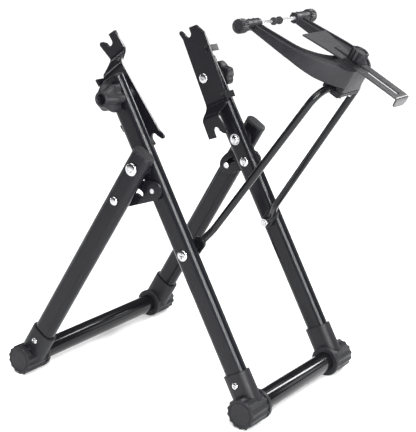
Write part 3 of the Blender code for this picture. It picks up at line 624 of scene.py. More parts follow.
def tube_piece(node, up, down, place, holes):
    """Flat-sided tube with cross holes, given as (centre, radius) in the tube's own axes."""
    outer = stadium(TUBE_WIDTH, TUBE_THICK)
    inner = stadium(TUBE_WIDTH - 2 * TUBE_WALL, TUBE_THICK - 2 * TUBE_WALL)
    rim = 0.4 * MM
    loops = [
        level(outer, -down),
        level(outer, up - rim),
        level(inset(outer, rim), up),
        level(inner, up),
        level(inner, -down),
    ]
    steps = []
    for centre, radius in holes:
        hole = lying(slab(circle(radius, 40), -20 * MM, 20 * MM))
        steps.append(cut(moved(hole, Matrix.Translation((centre.x, 0, centre.z)))))
    piece(node, carve(skin(loops, cyclic=True), steps), place)


def cap_piece(node, top, place):
    """Plastic plug whose flange and low dome close the tube."""
    wall = TUBE_WALL + GAP
    plug = stadium(TUBE_WIDTH - 2 * wall, TUBE_THICK - 2 * wall)
    flange = stadium(TUBE_WIDTH, TUBE_THICK)
    base = top + GAP
    loops = [level(plug, top - 8 * MM), level(plug, base), level(inset(flange, 0.3 * MM), base)]
    loops += [level(flange, base + 0.3 * MM), level(flange, base + 1.2 * MM)]
    for sine, cosine in quarter(6)[1:]:
        loops.append(level(inset(flange, 2.4 * MM * (1 - cosine)), base + 1.2 * MM + 1.4 * MM * sine))
    loops.append(level(inset(flange, 5.5 * MM), base + 2.9 * MM))
    piece(node, skin(loops), place)


def foot_barrel(crest):
    """Fluted barrel with a plain collar toward the stand's middle, along z."""
    flutes, steps = 14, 14 * 12
    depth, collar_edge, disc_edge = 1.5 * MM, 1.4 * MM, 1.6 * MM
    shoulder = -BARREL_INWARD + 5.5 * MM

    def plain(pulled, z):
        loops.append(level(circle(FOOT_RADIUS - pulled, steps), z))

    def fluted(pulled, z):
        loops.append(level(wavy(FOOT_RADIUS - pulled, depth, flutes, steps, crest, 1.6), z))

    loops = []
    for sine, cosine in quarter(4):
        plain(collar_edge * (1 - sine), -BARREL_INWARD + collar_edge * (1 - cosine))
    plain(0, shoulder)
    fluted(0.2 * MM, shoulder + 0.6 * MM)
    for sine, cosine in quarter(5):
        fluted(disc_edge * (1 - cosine), BARREL_OUTWARD - disc_edge * (1 - sine))
    return skin(loops)


def foot_piece(node, side, centre, lean, splay):
    place = Matrix.Translation(centre) @ turn_y(lean)
    up_tube = place @ Matrix.Rotation(splay * side, 4, "X")
    crest = math.atan2(-math.cos(lean), math.sin(lean))
    body = moved(lying(foot_barrel(crest), side), place)
    sleeve_outline = stadium(TUBE_WIDTH + 2 * SLEEVE_WALL, TUBE_THICK + 2 * SLEEVE_WALL)
    sleeve = moved(slab(sleeve_outline, 2 * MM, SLEEVE_TOP, 0.8 * MM), up_tube)
    socket = stadium(TUBE_WIDTH + 0.5 * MM, TUBE_THICK + 0.5 * MM)
    socket = moved(slab(socket, TUBE_END - GAP, SLEEVE_TOP + 5 * MM), up_tube)
    bar_hole = slab(circle(BAR_RADIUS + GAP), -BARREL_INWARD - 5 * MM, BARREL_OUTWARD - 4 * MM)
    steps = [add(sleeve), cut(socket), cut(moved(lying(bar_hole, side), place))]
    # Moulding pockets in the barrel beside the sleeve's outer face
    face = TUBE_THICK / 2 + SLEEVE_WALL
    for low, high in ((-9 * MM, -1.5 * MM), (1.5 * MM, 9 * MM)):
        pocket = box((low, face + 0.8 * MM, 14.5 * MM), (high, face + 5.2 * MM, 24 * MM))
        steps.append(cut(moved(mirrored(pocket, side), place)))
    # Fine groove where the end disc meets the flutes
    disc = lathe(
        [
            (14.2 * MM, BARREL_OUTWARD - 0.7 * MM),
            (14.9 * MM, BARREL_OUTWARD - 0.7 * MM),
            (15.2 * MM, BARREL_OUTWARD + 1 * MM),
            (13.9 * MM, BARREL_OUTWARD + 1 * MM),
        ],
        72,
    )
    steps.append(cut(moved(lying(disc, side), place)))
    piece(node, carve(body, steps), sharp=38)
    up = Vector((math.sin(lean), -side * math.sin(splay), math.cos(lean)))
    screw = screw_head(face + GAP, 4.2 * MM, 2.2 * MM, 2 * MM, face - 8 * MM, "cross")
    screw_node = node.replace("foot_", "foot_screw_")
    piece(screw_node, lying(screw, side), Matrix.Translation(centre + up * 32 * MM))


def crossbar_piece(node, centre):
    low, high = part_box(node)
    half = (high.y - low.y) / 2
    inner = BAR_RADIUS - TUBE_WALL
    profile = [(inner, -half), (BAR_RADIUS, -half), (BAR_RADIUS, half), (inner, half)]
    piece(node, lying(lathe(profile, 96, 0.4 * MM)), Matrix.Translation(centre))


def upright_side(word, side):
    place = Matrix.Translation((PIVOT.x, side * UPRIGHT_Y, PIVOT.z)) @ turn_y(-UPRIGHT_LEAN)
    holes = [(Vector((0, 0, 0)), 4.3 * MM)]
    for point in (BRACKET_PIVOT, STAY_PIVOT, BAIL_PIVOT):
        holes.append((turn_y(UPRIGHT_LEAN) @ (point - PIVOT), BOLT_HOLE))
    tube_piece("upright_" + word, UPRIGHT_TOP, UPRIGHT_LENGTH - TUBE_END, place, holes)
    cap_piece("upright_cap_" + word, UPRIGHT_TOP, place)
    centre = FRONT_FOOT + Vector((0, side * UPRIGHT_Y, 0))
    foot_piece("front_foot_" + word, side, centre, -UPRIGHT_LEAN, 0)


def leg_side(word, side):
    lean = turn_y(LEG_LEAN) @ Matrix.Rotation(LEG_SPLAY * side, 4, "X")
    place = Matrix.Translation((PIVOT.x, side * LEG_Y, PIVOT.z)) @ lean
    holes = [(Vector((0, 0, 0)), 4.5 * MM), (turn_y(-LEG_LEAN) @ (LEG_PIN - PIVOT), 3.5 * MM)]
    tube_piece("leg_" + word, LEG_TOP, LEG_LENGTH / math.cos(LEG_SPLAY) - TUBE_END, place, holes)
    cap_piece("leg_cap_" + word, LEG_TOP, place)
    centre = REAR_FOOT + Vector((0, side * LEG_FOOT_Y, 0))
    foot_piece("rear_foot_" + word, side, centre, LEG_LEAN, LEG_SPLAY)


def pivot_side(word, side):
    place = Matrix.Translation(PIVOT)
    bolt = screw_head(LEG_OUTER + MM, 8 * MM, 3 * MM, 4 * MM, UPRIGHT_INNER - 2 * MM, "hex")
    flange = ring(3.9 * MM, 7.9 * MM, LEG_OUTER + 0.45 * MM, LEG_OUTER + 1.05 * MM, 0.2 * MM)
    piece("pivot_bolt_" + word, lying(joined(bolt, flange), side), place)
    face = UPRIGHT_INNER - GAP
    profile = [(0, face - 4 * MM)] + dome(6.2 * MM, 3.4 * MM, face - 0.6 * MM, -1, 1.5 * MM)[::-1]
    profile += [(7.5 * MM, face - 0.6 * MM), (7.5 * MM, face), (4.3 * MM, face), (4.3 * MM, face - 2.4 * MM)]
    profile += [(0, face - 2.4 * MM)]
    piece("pivot_nut_" + word, lying(lathe(profile, 48), side), place)
    spacer = ring(4.3 * MM, 10 * MM, UPRIGHT_OUTER + GAP, STAY_INNER + 5.2 * MM, 0.6 * MM)
    piece("pivot_spacer_" + word, lying(spacer, side), place)


# Fold stays


def pin_from_stay(fold):
    return turn_y(-fold) @ (LEG_PIN - PIVOT) - (STAY_PIVOT - PIVOT)


def stay_side(word, side):
    fold_end = math.radians(JOINTS["leg_fold"]["range_deg"][1])
    couplings = frame["record"]["behaviour"]["couplings"]
    ratio = next(c["ratio"] for c in couplings if c["joint"] == "stay_turn_" + word)
    path = []
    for i in range(13):
        fold = fold_end * i / 12
        point = turn_y(ratio * fold) @ pin_from_stay(fold)
        path.append((point.x, point.z))
    rims = [point for centre in path + [(0, 0)] for point in circle(STAY_HALF_WIDTH, 48, centre)]
    outline = [rims[i] for i in convex_hull_2d(rims)]
    plate = slab(outline, STAY_INNER, STAY_INNER + STAY_THICK, 0.7 * MM)
    low, high = STAY_INNER - MM, STAY_INNER + STAY_THICK + MM
    cuts = [cut(slab(capsule(path, STAY_SLOT), low, high))]
    cuts.append(cut(slab(circle(BOLT_HOLE, 40), low, high)))
    piece("stay_" + word, lying(carve(plate, cuts), side), Matrix.Translation(STAY_PIVOT))
    end = STAY_INNER + STAY_THICK + MM
    rivet = screw_head(UPRIGHT_INNER - GAP, 6.5 * MM, 2.6 * MM, BOLT_RADIUS, end, "cross")
    piece("stay_rivet_" + word, lying(rivet, side), Matrix.Translation(STAY_PIVOT))
    head, clip = LEG_OUTER + 2.5 * MM, STAY_INNER - GAP
    profile = [(0, clip - 1.2 * MM), (PIN_CLIP - 0.5 * MM, clip - 1.2 * MM)]
    profile += [(PIN_CLIP, clip - 0.7 * MM), (PIN_CLIP, clip), (BOLT_RADIUS, clip), (BOLT_RADIUS, head)]
    profile += [(PIN_HEAD, head)] + dome(PIN_HEAD, 2.2 * MM, head + 0.2 * MM, 1, 1.2 * MM)
    profile += [(0, head + 2.4 * MM)]
    piece("stay_pin_" + word, lying(lathe(profile, 48), side), Matrix.Translation(LEG_PIN))


# Dropout brackets


def toothed(start, end, teeth, height):
    """A run of small teeth between two points."""
    a, b = Vector(start), Vector(end)
    along = b - a
    normal = Vector((along.y, -along.x)).normalized() * height
    points = []
    for i in range(teeth):
        points.append(tuple(a + along * (i + 0.5) / teeth + normal))
        points.append(tuple(a + along * (i + 1) / teeth))
    return points


def bracket_outline():
    """Plate seen from its outer side as (across, along); the straight end is at +along."""
    outline = [(BRACKET_FRONT, -41 * MM), (BRACKET_FRONT, 54.5 * MM), (16.5 * MM, 68.5 * MM)]
    outline += [(4.3 * MM, 69.3 * MM)] + arc((-0.5 * MM, 62 * MM), AXLE_SLOT, 360, 180, 20)
    outline += [(-9 * MM, 68.5 * MM), (-11 * MM, 70 * MM), (-13.6 * MM, 68.5 * MM)]
    outline += [(-14 * MM, 66.5 * MM), (-11.5 * MM, 58 * MM), (-11.5 * MM, -43 * MM)]
    outline += [(-16.6 * MM, -54.5 * MM), (-16.2 * MM, -79 * MM), (-4.8 * MM, -80 * MM)]
    outline += arc((0, -71.5 * MM), AXLE_SLOT, 180, 0, 20)
    outline += toothed((AXLE_SLOT, -72.5 * MM), (10 * MM, -78 * MM), 5, 0.45 * MM)
    outline += [(12.6 * MM, -79.4 * MM), (15.2 * MM, -77.6 * MM)]
    outline += [(15.6 * MM, -75.5 * MM), (11.3 * MM, -53.5 * MM)]
    return outline


def bracket_side(word, side):
    place = Matrix.Translation(BRACKET_PIVOT) @ turn_y(SWIVEL[word] - UPRIGHT_LEAN)
    inner, jogged = BRACKET_INNER, BRACKET_INNER - BRACKET_JOG
    run = [(inner, 72 * MM), (inner, -37 * MM), (jogged, -50 * MM), (jogged, -82 * MM)]
    near = softened(run, 4 * MM, 6, closed=False)
    far_run = [(inner + BRACKET_THICK, 72 * MM), (inner + BRACKET_THICK, -38.2 * MM)]
    far_run += [(jogged + BRACKET_THICK, -51.2 * MM), (jogged + BRACKET_THICK, -82 * MM)]
    far = softened(far_run, 5.5 * MM, 6, closed=False)
    profile = near + far[::-1]
    sheet = skin([[(x, y, z) for y, z in profile] for x in (-20 * MM, 30 * MM)])
    plan = slab(softened(bracket_outline(), 0.8 * MM, 3, least=25), jogged - 5 * MM, inner + 10 * MM)
    steps = [("INTERSECT", lying(plan))]
    lug_reach = inner + BRACKET_THICK + 16 * MM
    for middle in (33 * MM, -31.5 * MM):
        lug = box(
            (BRACKET_FRONT - BRACKET_THICK, inner + MM, middle - 4.5 * MM),
            (BRACKET_FRONT, lug_reach, middle + 4.5 * MM),
        )
        steps.append(add(lug))
        relief = box(
            (BRACKET_FRONT - 7 * MM, inner - MM, middle - 4 * MM),
            (BRACKET_FRONT - BRACKET_THICK, inner + 2.2 * MM, middle + 4 * MM),
        )
        steps.append(cut(relief))
    bolt_hole = slab(circle(BOLT_HOLE, 40), inner - 2 * MM, inner + 6 * MM)
    steps.append(cut(lying(bolt_hole)))
    piece("bracket_" + word, mirrored(carve(sheet, steps), side), place, bevel=0.45 * MM)
    here = Matrix.Translation(BRACKET_PIVOT)
    bolt = screw_head(inner - GAP, 6.6 * MM, 2.8 * MM, BOLT_RADIUS, BRACKET_BOLT_END, "hex")
    piece("bracket_bolt_" + word, lying(bolt, side), here)
    spacer = ring(BOLT_HOLE, 9 * MM, inner + BRACKET_THICK + GAP, UPRIGHT_INNER - GAP)
    piece("bracket_spacer_" + word, lying(spacer, side), here)


def star_side(word, side):
    """Knob on a round neck: six lobes that taper outward to a hub with a deep hole."""
    steps, lobes = 144, 6
    radius, lobe, edge, neck_radius = 16.8 * MM, 2.3 * MM, 2.2 * MM, 8 * MM
    neck, back, front = UPRIGHT_OUTER + GAP, 107.5 * MM, 117 * MM
    loops = []

    def round_at(r, z):
        loops.append(level(circle(r, steps), z))

    def lobed_at(r, height, z):
        loops.append(level(wavy(r + height, 2 * height, lobes, steps), z))

    round_at(BOLT_HOLE, KNOB_BORE_END)
    round_at(BOLT_HOLE, neck)
    round_at(neck_radius - 0.4 * MM, neck)
    round_at(neck_radius, neck + 0.4 * MM)
    round_at(neck_radius, back - 0.8 * MM)
    round_at(neck_radius + MM, back)
    for sine, cosine in quarter(6):
        lobed_at(radius - edge * (1 - sine), lobe, back + edge * (1 - cosine))
    # The taper, as (height, pulled in, share of the lobe left), then the hub's lip and hole
    taper = [(0, 0, 1), (2, 0.5, 0.97), (4, 1.4, 0.9), (6, 2.6, 0.8)]
    taper += [(8, 4.0, 0.66), (10, 5.3, 0.48), (12, 6.4, 0.3)]
    for z, pulled, share in taper:
        lobed_at(radius - pulled * MM, lobe * share, front + z * MM)
    lip = [(9.7, -1.6), (9.4, -0.6), (8.9, -0.1), (8.4, 0), (7.0, 0), (6.5, -0.4), (6.3, -1.0), (6.2, -9.0)]
    for r, z in lip:
        round_at(r * MM, KNOB_END + z * MM)
    turn = turn_y(math.radians(30) if side > 0 else 0)
    piece("star_knob_" + word, lying(skin(loops), side), Matrix.Translation(BRACKET_PIVOT) @ turn)


# Bail


def rounded_path(corners, radius):
    """The path with its inner corners replaced by arcs."""
    path, steps = [corners[0]], 18
    for before, corner, after in zip(corners, corners[1:], corners[2:]):
        back = (before - corner).normalized()
        on = (after - corner).normalized()
        half = back.angle(on) / 2
        reach = radius / math.tan(half)
        centre = corner + (back + on).normalized() * (radius / math.sin(half))
        start = (corner + back * reach - centre).normalized()
        end = (corner + on * reach - centre).normalized()
        path += [centre + radius * start.slerp(end, i / steps) for i in range(steps + 1)]
    path.append(corners[-1])
    return path


def bail_piece():
    neck = 13 * MM
    half = [Vector((0, EYE_Y, neck)), Vector((0, 69 * MM, 34 * MM)), Vector((0, 50.5 * MM, BAIL_LENGTH))]
    corners = half + [Vector((0, -p.y, p.z)) for p in reversed(half)]
    rod = sweep(rounded_path(corners, BAIL_BEND), BAIL_RADIUS)
    steps = []
    for _, side in SIDES:
        low, high = EYE_Y - EYE_THICK / 2, EYE_Y + EYE_THICK / 2
        eye = slab(capsule([(0, 0), (0, neck + 2 * MM)], EYE_RADIUS, 20), low, high, 0.6 * MM)
        steps.append(add(lying(eye, side)))
        trim = box((-20 * MM, high, -20 * MM), (20 * MM, high + 18 * MM, 40 * MM))
        steps.append(cut(mirrored(trim, side)))
        hole = slab(circle(BOLT_HOLE, 40), EYE_Y - 20 * MM, EYE_Y + 10 * MM)
        steps.append(cut(lying(hole, side)))
    place = Matrix.Translation(BAIL_PIVOT) @ turn_y(BAIL_LEAN)
    piece("bail_rod", carve(rod, steps), place)


def bail_side(word, side):
    place = Matrix.Translation(BAIL_PIVOT)
    inner = EYE_Y - EYE_THICK / 2
    bolt = screw_head(UPRIGHT_OUTER + GAP, 7 * MM, 2.8 * MM, BOLT_RADIUS, inner - 7 * MM, "cross")
    piece("bail_bolt_" + word, lying(bolt, side), place)
    across = 10 * MM
    hexagon = slab(circle(across / math.sqrt(3), 6), inner - 6 * MM, inner - MM)
    chamfer = lathe(
        [
            (0, inner - 6 * MM),
            (across * 0.49, inner - 6 * MM),
            (across * 0.6, inner - 5.2 * MM),
            (across * 0.6, inner - 1.8 * MM),
            (across * 0.49, inner - MM),
            (0, inner - MM),
        ],
        60,
    )
    hole = slab(circle(BOLT_HOLE, 40), inner - 8 * MM, inner + MM)
    nut = carve(hexagon, [("INTERSECT", chamfer), cut(hole)])
    piece("bail_nut_" + word, lying(nut, side), place)
    spacer = ring(BOLT_HOLE, 7 * MM, EYE_Y + EYE_THICK / 2 + GAP, UPRIGHT_INNER - GAP)
    piece("bail_spacer_" + word, lying(spacer, side), place)


# Caliper, in its own frame: x from the feelers' axis to the crown, z out of the fork's top


def between(x, stops):
    """Value at x along straight runs between (x, value) stops."""
    if x <= stops[0][0]:
        return stops[0][1]
    for (x0, v0), (x1, v1) in zip(stops, stops[1:]):
        if x <= x1:
            t = (x - x0) / (x1 - x0)
            return v0 + (v1 - v0) * t
    return stops[-1][1]


def fork_top(x):
    return between(x, [(12 * MM, 3.6 * MM), (60 * MM, 8 * MM), (104 * MM, CROWN_TOP)])


def fork_bottom(x):
    return between(x, [(-12 * MM, -5.4 * MM), (62 * MM, -6 * MM), (95 * MM, -9 * MM)])


def fork_rail(straight_start, straight_end, centre_x, reach_x, reach_y, start_y, stop_x):
    """One edge of the fork's plan, from the +y tip round the crown to the -y tip."""
    points = []
    straight, bend = 26, 64
    for i in range(straight):
        t = i / straight
        x = straight_start + (straight_end - straight_start) * t
        points.append((x, start_y + (reach_y - start_y) * t))
    for i in range(bend + 1):
        angle = math.pi / 2 - math.pi * i / bend
        x = centre_x + reach_x * math.cos(angle)
        points.append((min(x, stop_x), reach_y * math.sin(angle)))
    return points + [(x, -y) for x, y in reversed(points[:straight])]


def fork_section(outer, inner):
    """Cross-section of an arm between an outer and an inner plan point, with a sunken top channel."""
    o, i = Vector(outer), Vector(inner)
    width = (i - o).length
    across = (i - o).normalized()
    rim = min(2.4 * MM, width * 0.22)
    sink, edge = 2.4 * MM, 1.1 * MM
    points = []

    def at(distance, height, base):
        p = o + across * distance
        top, bottom = fork_top(p.x), fork_bottom(p.x)
        z = top + height if base == "top" else bottom + height
        points.append((p.x, p.y, z))

    for sine, cosine in quarter(3):
        at(edge * (1 - sine), edge * (1 - cosine), "bottom")
    for sine, cosine in quarter(4):
        at(edge * (1 - cosine), -edge * (1 - sine), "top")
    at(rim, 0, "top")
    at(rim + 0.5 * MM, -0.35 * MM, "top")
    at(rim + 0.9 * MM, -sink, "top")
    at(width / 2, -sink, "top")
    at(width - rim - 0.9 * MM, -sink, "top")
    at(width - rim - 0.5 * MM, -0.35 * MM, "top")
    at(width - rim, 0, "top")
    for sine, cosine in quarter(4):
        at(width - edge * (1 - sine), -edge * (1 - cosine), "top")
    for sine, cosine in quarter(3):
        at(width - edge * (1 - cosine), edge * (1 - sine), "bottom")
    return points


def rod_groove():
    """The bore between the fork and its clamp, round the bail."""
    groove = lying(slab(circle(BAIL_RADIUS + GAP, 48), -80 * MM, 80 * MM))
    return moved(groove, Matrix.Translation((CLAMP_X, 0, CLAMP_Z)))


def clamp_screw_place(side):
    return Matrix.Translation((CLAMP_SCREW_X, side * CLAMP_SCREW_Y, 0))


def clamp_screw_hole(side, top):
    return moved(slab(circle(2.1 * MM, 24), -40 * MM, top), clamp_screw_place(side))


def fork_piece(place):
    crown_stop = 123.9 * MM
    outer = fork_rail(-7 * MM, 55 * MM, 55 * MM, 74 * MM, 57 * MM, 54 * MM, crown_stop)
    inner = fork_rail(-7 * MM, 50 * MM, 50 * MM, 40 * MM, 40 * MM, 41 * MM, 90 * MM)
    arms = skin([fork_section(o, i) for o, i in zip(outer, inner)])
    block_top = CROWN_TOP - 1.5 * MM
    block = box((96 * MM, -CROWN_HALF, CLAMP_Z + GAP), (CROWN_BACK, CROWN_HALF, block_top), MM)
    steps = [add(block)]
    platform = box((98 * MM, -17 * MM, 5 * MM), (122.5 * MM, 17 * MM, CROWN_TOP), MM)
    steps.append(add(platform))
    slim, start = BOSS_RADIUS - 0.6 * MM, 39 * MM
    for _, side in SIDES:
        profile = [(0, start), (slim, start), (BOSS_RADIUS, start + 0.6 * MM)]
        profile += [(BOSS_RADIUS, BOSS_TO - 0.6 * MM), (slim, BOSS_TO), (0, BOSS_TO)]
        steps.append(add(lying(lathe(profile, 56), side)))
        hole = slab(circle(2.4 * MM, 32), 34 * MM, BOSS_TO + 5 * MM)
        steps.append(cut(lying(hole, side)))
    steps.append(cut(rod_groove()))
    stud_hole = slab(circle(BOLT_HOLE, 32), 0, CROWN_TOP + 5 * MM)
    steps.append(cut(moved(stud_hole, Matrix.Translation((STUD_X, 0, 0)))))
    for _, side in SIDES:
        steps.append(cut(clamp_screw_hole(side, CLAMP_Z + 12 * MM)))
    piece("caliper_fork", carve(arms, steps), place, sharp=34)


def clamp_pieces(place):
    low, high = CLAMP_Z - 7.5 * MM, CLAMP_Z - GAP
    chamfer = -21 * MM
    outline = [(CLAMP_FRONT, high), (CLAMP_FRONT, chamfer), (102 * MM, low), (121 * MM, low)]
    outline += [(CROWN_BACK, chamfer), (CROWN_BACK, high)]
    loops = [[(x, y, z) for x, z in outline] for y in (-CROWN_HALF, CROWN_HALF)]
    steps = [cut(rod_groove())]
    for _, side in SIDES:
        steps.append(cut(clamp_screw_hole(side, CLAMP_Z + 2 * MM)))
    # Two layer lines across the cap's outer face
    for z in (-19 * MM, -21.4 * MM):
        line = box((123.4 * MM, -21 * MM, z - 0.25 * MM), (126 * MM, 21 * MM, z + 0.25 * MM))
        steps.append(cut(line))
    piece("rod_clamp", carve(skin(loops), steps), place, bevel=0.5 * MM)
    for word, side in SIDES:
        screw = screw_head(low - GAP, 3.4 * MM, 2 * MM, 1.8 * MM, CLAMP_Z + 11 * MM, "cross")
        piece("clamp_screw_" + word, screw, place @ clamp_screw_place(side))


def knurled(radius, depth, ridges, low, high, bore, blind_to, dish):
    """Knob with a knurled rim, a dished outer face and a blind bore from its low end."""
    steps = ridges * 8
    edge = 1.3 * MM
    loops = [level(circle(bore, steps), blind_to), level(circle(bore, steps), low)]
    for sine, cosine in quarter(4):
        outline = wavy(radius - edge * (1 - sine), depth, ridges, steps, sharpness=1.5)
        loops.append(level(outline, low + edge * (1 - cosine)))
    for i in range(6):
        angle = math.pi / 2 * i / 5
        pulled = edge * (1 - math.cos(angle))
        outline = wavy(radius - pulled, depth * math.cos(angle * 0.9), ridges, steps, sharpness=1.5)
        loops.append(level(outline, high - edge * (1 - math.sin(angle))))
    face = radius - edge - 1.2 * MM
    loops.append(level(circle(face, steps), high))
    loops.append(level(circle(face - 0.6 * MM, steps), high - dish))
    loops.append(level(circle(face * 0.4, steps), high - dish))
    return skin(loops)


def feeler_side(word, side, place):
    low = BOSS_TO + GAP
    rod_end = low + 8 * MM
    knob = knurled(8.4 * MM, 0.6 * MM, 24, low, low + 12 * MM, 2.4 * MM, rod_end + GAP, 0.5 * MM)
    piece("feeler_knob_" + word, lying(knob, side), place)
    thin, thick = 1.2 * MM, 2.1 * MM
    profile = [(0, 7.3 * MM), (thin, 7.3 * MM), (thin, 11 * MM), (1.9 * MM, 11 * MM), (thick, 11.3 * MM)]
    profile += [(thick, rod_end), (0, rod_end)]
    piece("feeler_rod_" + word, lying(lathe(profile, 32), side), place, sharp=60)
    waist = [(0, 0.6), (1.4, 0.6), (2.0, 1.6), (2.2, 2.5), (4.2, 4.3), (4.6, 4.9), (4.6, 7.1), (4.2, 7.7)]
    waist += [(2.8, 9.0), (2.8, 10.7), (1.5, 10.7), (1.5, 7.0), (0, 7.0)]
    tip = lathe([(r * MM, z * MM) for r, z in waist], 48)
    piece("feeler_tip_" + word, lying(tip, side), place, sharp=50)


def gauge_plate(place):
    """Slotted plate with a wedge at the rim's end and its back end bent down as a tab."""
    corner, bend, thick, tab = 6 * MM, 2.6 * MM, 2 * MM, 12 * MM
    flat_end = GAUGE_BACK - bend
    outline = [(50 * MM, -25.5 * MM), (98 * MM, -GAUGE_HALF), (flat_end, -GAUGE_HALF)]
    outline += [(x, -y) for x, y in reversed(outline)]
    plate = slab(outline, GAUGE_LOW, GAUGE_HIGH)
    centre_z, tab_low = GAUGE_HIGH - bend, GAUGE_HIGH - tab
    outside = [(flat_end - 0.05 * MM, GAUGE_HIGH)] + arc((flat_end, centre_z), bend, 90, 0, 10)
    outside += [(GAUGE_BACK, tab_low), (GAUGE_BACK - thick, tab_low)]
    inside = arc((flat_end, centre_z), bend - thick, 0, 90, 6) + [(flat_end - 0.05 * MM, GAUGE_LOW)]
    strip = skin([[(x, y, z) for x, z in outside + inside] for y in (-GAUGE_HALF, GAUGE_HALF)])
    shape = [(-GAUGE_HALF, GAUGE_HIGH + MM)]
    shape += arc((-GAUGE_HALF + corner, tab_low + corner), corner, 180, 270, 10)
    shape += [(-y, z) for y, z in reversed(shape)]
    stencil = skin([[(x, y, z) for y, z in shape] for x in (flat_end - 5 * MM, GAUGE_BACK + MM)])
    slot = slab(capsule([(84 * MM, 0), (172 * MM, 0)], BOLT_HOLE), GAUGE_LOW - 3 * MM, GAUGE_HIGH + 3 * MM)
    tab = carve(strip, [("INTERSECT", stencil)])
    whole = carve(plate, [add(tab), cut(slot)])
    piece("gauge_plate", whole, place, bevel=0.3 * MM, sharp=30)


def gauge_clamp(place):
    """Stud, saddle-shaped guide and thumb knob that hold the plate on the crown."""
    seat = place @ Matrix.Translation((STUD_X, 0, 0))
    knob_low = GAUGE_HIGH + 2.4 * MM
    stud_top = knob_low + 10 * MM
    stud = lathe([(0, GAP), (BOLT_RADIUS, GAP), (BOLT_RADIUS, stud_top), (0, stud_top)], 32)
    piece("gauge_stud", stud, seat)
    outer, tongue = GAUGE_HALF + MM, 3 * MM
    section = [(-outer, GAUGE_HIGH + 2 * MM), (-outer, GAUGE_HIGH + GAP), (-tongue, GAUGE_HIGH + GAP)]
    section += [(-tongue, CROWN_TOP + 0.6 * MM)]
    section += [(-y, z) for y, z in reversed(section)]
    guide = skin([[(x, y, z) for y, z in section] for x in (-8 * MM, 8 * MM)])
    hole = slab(circle(BOLT_HOLE, 32), GAUGE_LOW - 3 * MM, GAUGE_HIGH + 9 * MM)
    piece("gauge_guide", carve(guide, [cut(hole)]), seat, bevel=0.4 * MM)
    knob_top = knob_low + 13 * MM
    knob = knurled(10.5 * MM, 1.5 * MM, 12, knob_low, knob_top, BOLT_HOLE, stud_top + GAP, 1.6 * MM)
    piece("gauge_knob", knob, seat)


def build_stand():
    for word, side in SIDES:
        upright_side(word, side)
        leg_side(word, side)
        pivot_side(word, side)
        stay_side(word, side)
        bracket_side(word, side)
        star_side(word, side)
        bail_side(word, side)
    crossbar_piece("crossbar_front", FRONT_FOOT)
    crossbar_piece("crossbar_rear", REAR_FOOT)
    bail_piece()
    place = Matrix.Translation(CALIPER_ORIGIN) @ turn_y(CALIPER_TILT)
    fork_piece(place)
    clamp_pieces(place)
    for word, side in SIDES:
        feeler_side(word, side, place)
    gauge_plate(place)
    gauge_clamp(place)


# Studio


def pale_floor():
    mesh = bpy.data.meshes.new("floor")
    reach = 14
    corners = [(-reach, -reach, 0), (reach, -reach, 0), (reach, reach, 0), (-reach, reach, 0)]
    mesh.from_pydata(corners, [], [(0, 1, 2, 3)])
    floor = bpy.data.objects.new("floor", mesh)
    floor.location.z = -0.0005
    bpy.context.scene.collection.objects.link(floor)
    made = Shader("pale_floor", 0.6)
    made.bsdf.inputs["Specular IOR Level"].default_value = 0.2
    made.color(made.blend(made.noise(2, 2), (0.93, 0.93, 0.93), (0.96, 0.96, 0.96)))
    mesh.materials.append(made.material)


def area_light(name, location, target, size, power, length=None):
    data = bpy.data.lights.new(name, "AREA")
    data.energy = power
    data.size = size
    if length is not None:
        data.shape = "RECTANGLE"
        data.size_y = length
    light = bpy.data.objects.new(name, data)
    light.location = location
    direction = Vector(target) - Vector(location)
    light.rotation_mode = "QUATERNION"
    light.rotation_quaternion = direction.to_track_quat("-Z", "Y")
    bpy.context.scene.collection.objects.link(light)


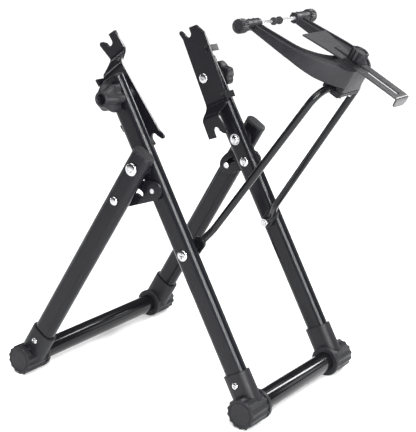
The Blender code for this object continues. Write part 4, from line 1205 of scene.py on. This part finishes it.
def sun_light(name, toward, angle, strength):
    """Soft, even light that comes from the direction toward."""
    data = bpy.data.lights.new(name, "SUN")
    data.energy = strength
    data.angle = math.radians(angle)
    light = bpy.data.objects.new(name, data)
    light.rotation_mode = "QUATERNION"
    light.rotation_quaternion = Vector(toward).to_track_quat("Z", "Y")
    bpy.context.scene.collection.objects.link(light)


def studio():
    """White to the camera, dim to everything else, with soft lights above and beside it."""
    world = bpy.data.worlds.new("studio")
    world.use_nodes = True
    nodes, links = world.node_tree.nodes, world.node_tree.links
    background = nodes["Background"]
    background.inputs["Color"].default_value = (1, 1, 1, 1)
    path = nodes.new("ShaderNodeLightPath")
    strength = nodes.new("ShaderNodeMapRange")
    strength.inputs["To Min"].default_value = 0.12
    strength.inputs["To Max"].default_value = 1.0
    links.new(path.outputs["Is Camera Ray"], strength.inputs["Value"])
    links.new(strength.outputs["Result"], background.inputs["Strength"])
    bpy.context.scene.world = world
    middle = (0, 0, 0.25)
    sun_light("sky", (-0.15, -0.1, 1.0), 60, 3.4)
    area_light("front_strip_left", (0.50, -1.60, 0.60), middle, 0.04, 3, 1.2)
    area_light("front_strip_middle", (1.02, -1.20, 0.95), middle, 0.1, 40, 1.2)
    area_light("front_strip_right", (1.50, -0.80, 1.00), middle, 0.1, 40, 1.2)
    area_light("over_strip", (0.60, 1.60, 1.40), (0.1, 0, 0), 0.3, 32, 0.9)
    area_light("over_panel", (-0.15, 1.60, 1.65), (0.25, 0, 0.43), 0.3, 0.6)
    area_light("side_strip", (-1.85, -0.50, 0.55), middle, 0.07, 5, 1.2)
    area_light("back_panel", (1.3, 1.7, 0.62), (0, 0, 0.35), 0.5, 2.5, 0.6)
    bpy.context.scene.view_settings.view_transform = "Standard"


def camera():
    data = bpy.data.cameras.new("camera")
    data.lens = 93.54
    data.sensor_width = 36
    data.clip_start = 0.05
    data.clip_end = 60
    obj = bpy.data.objects.new("camera", data)
    obj.location = (0.7808, -1.1211, 0.6015)
    obj.rotation_mode = "QUATERNION"
    aim = Vector((-0.5622, 0.7815, -0.2705)).to_track_quat("-Z", "Y")
    roll = Matrix.Rotation(0.0034, 4, "Z").to_quaternion()
    obj.rotation_quaternion = aim @ roll
    bpy.context.scene.collection.objects.link(obj)
    bpy.context.scene.camera = obj


build_stand()
pale_floor()
studio()
camera()
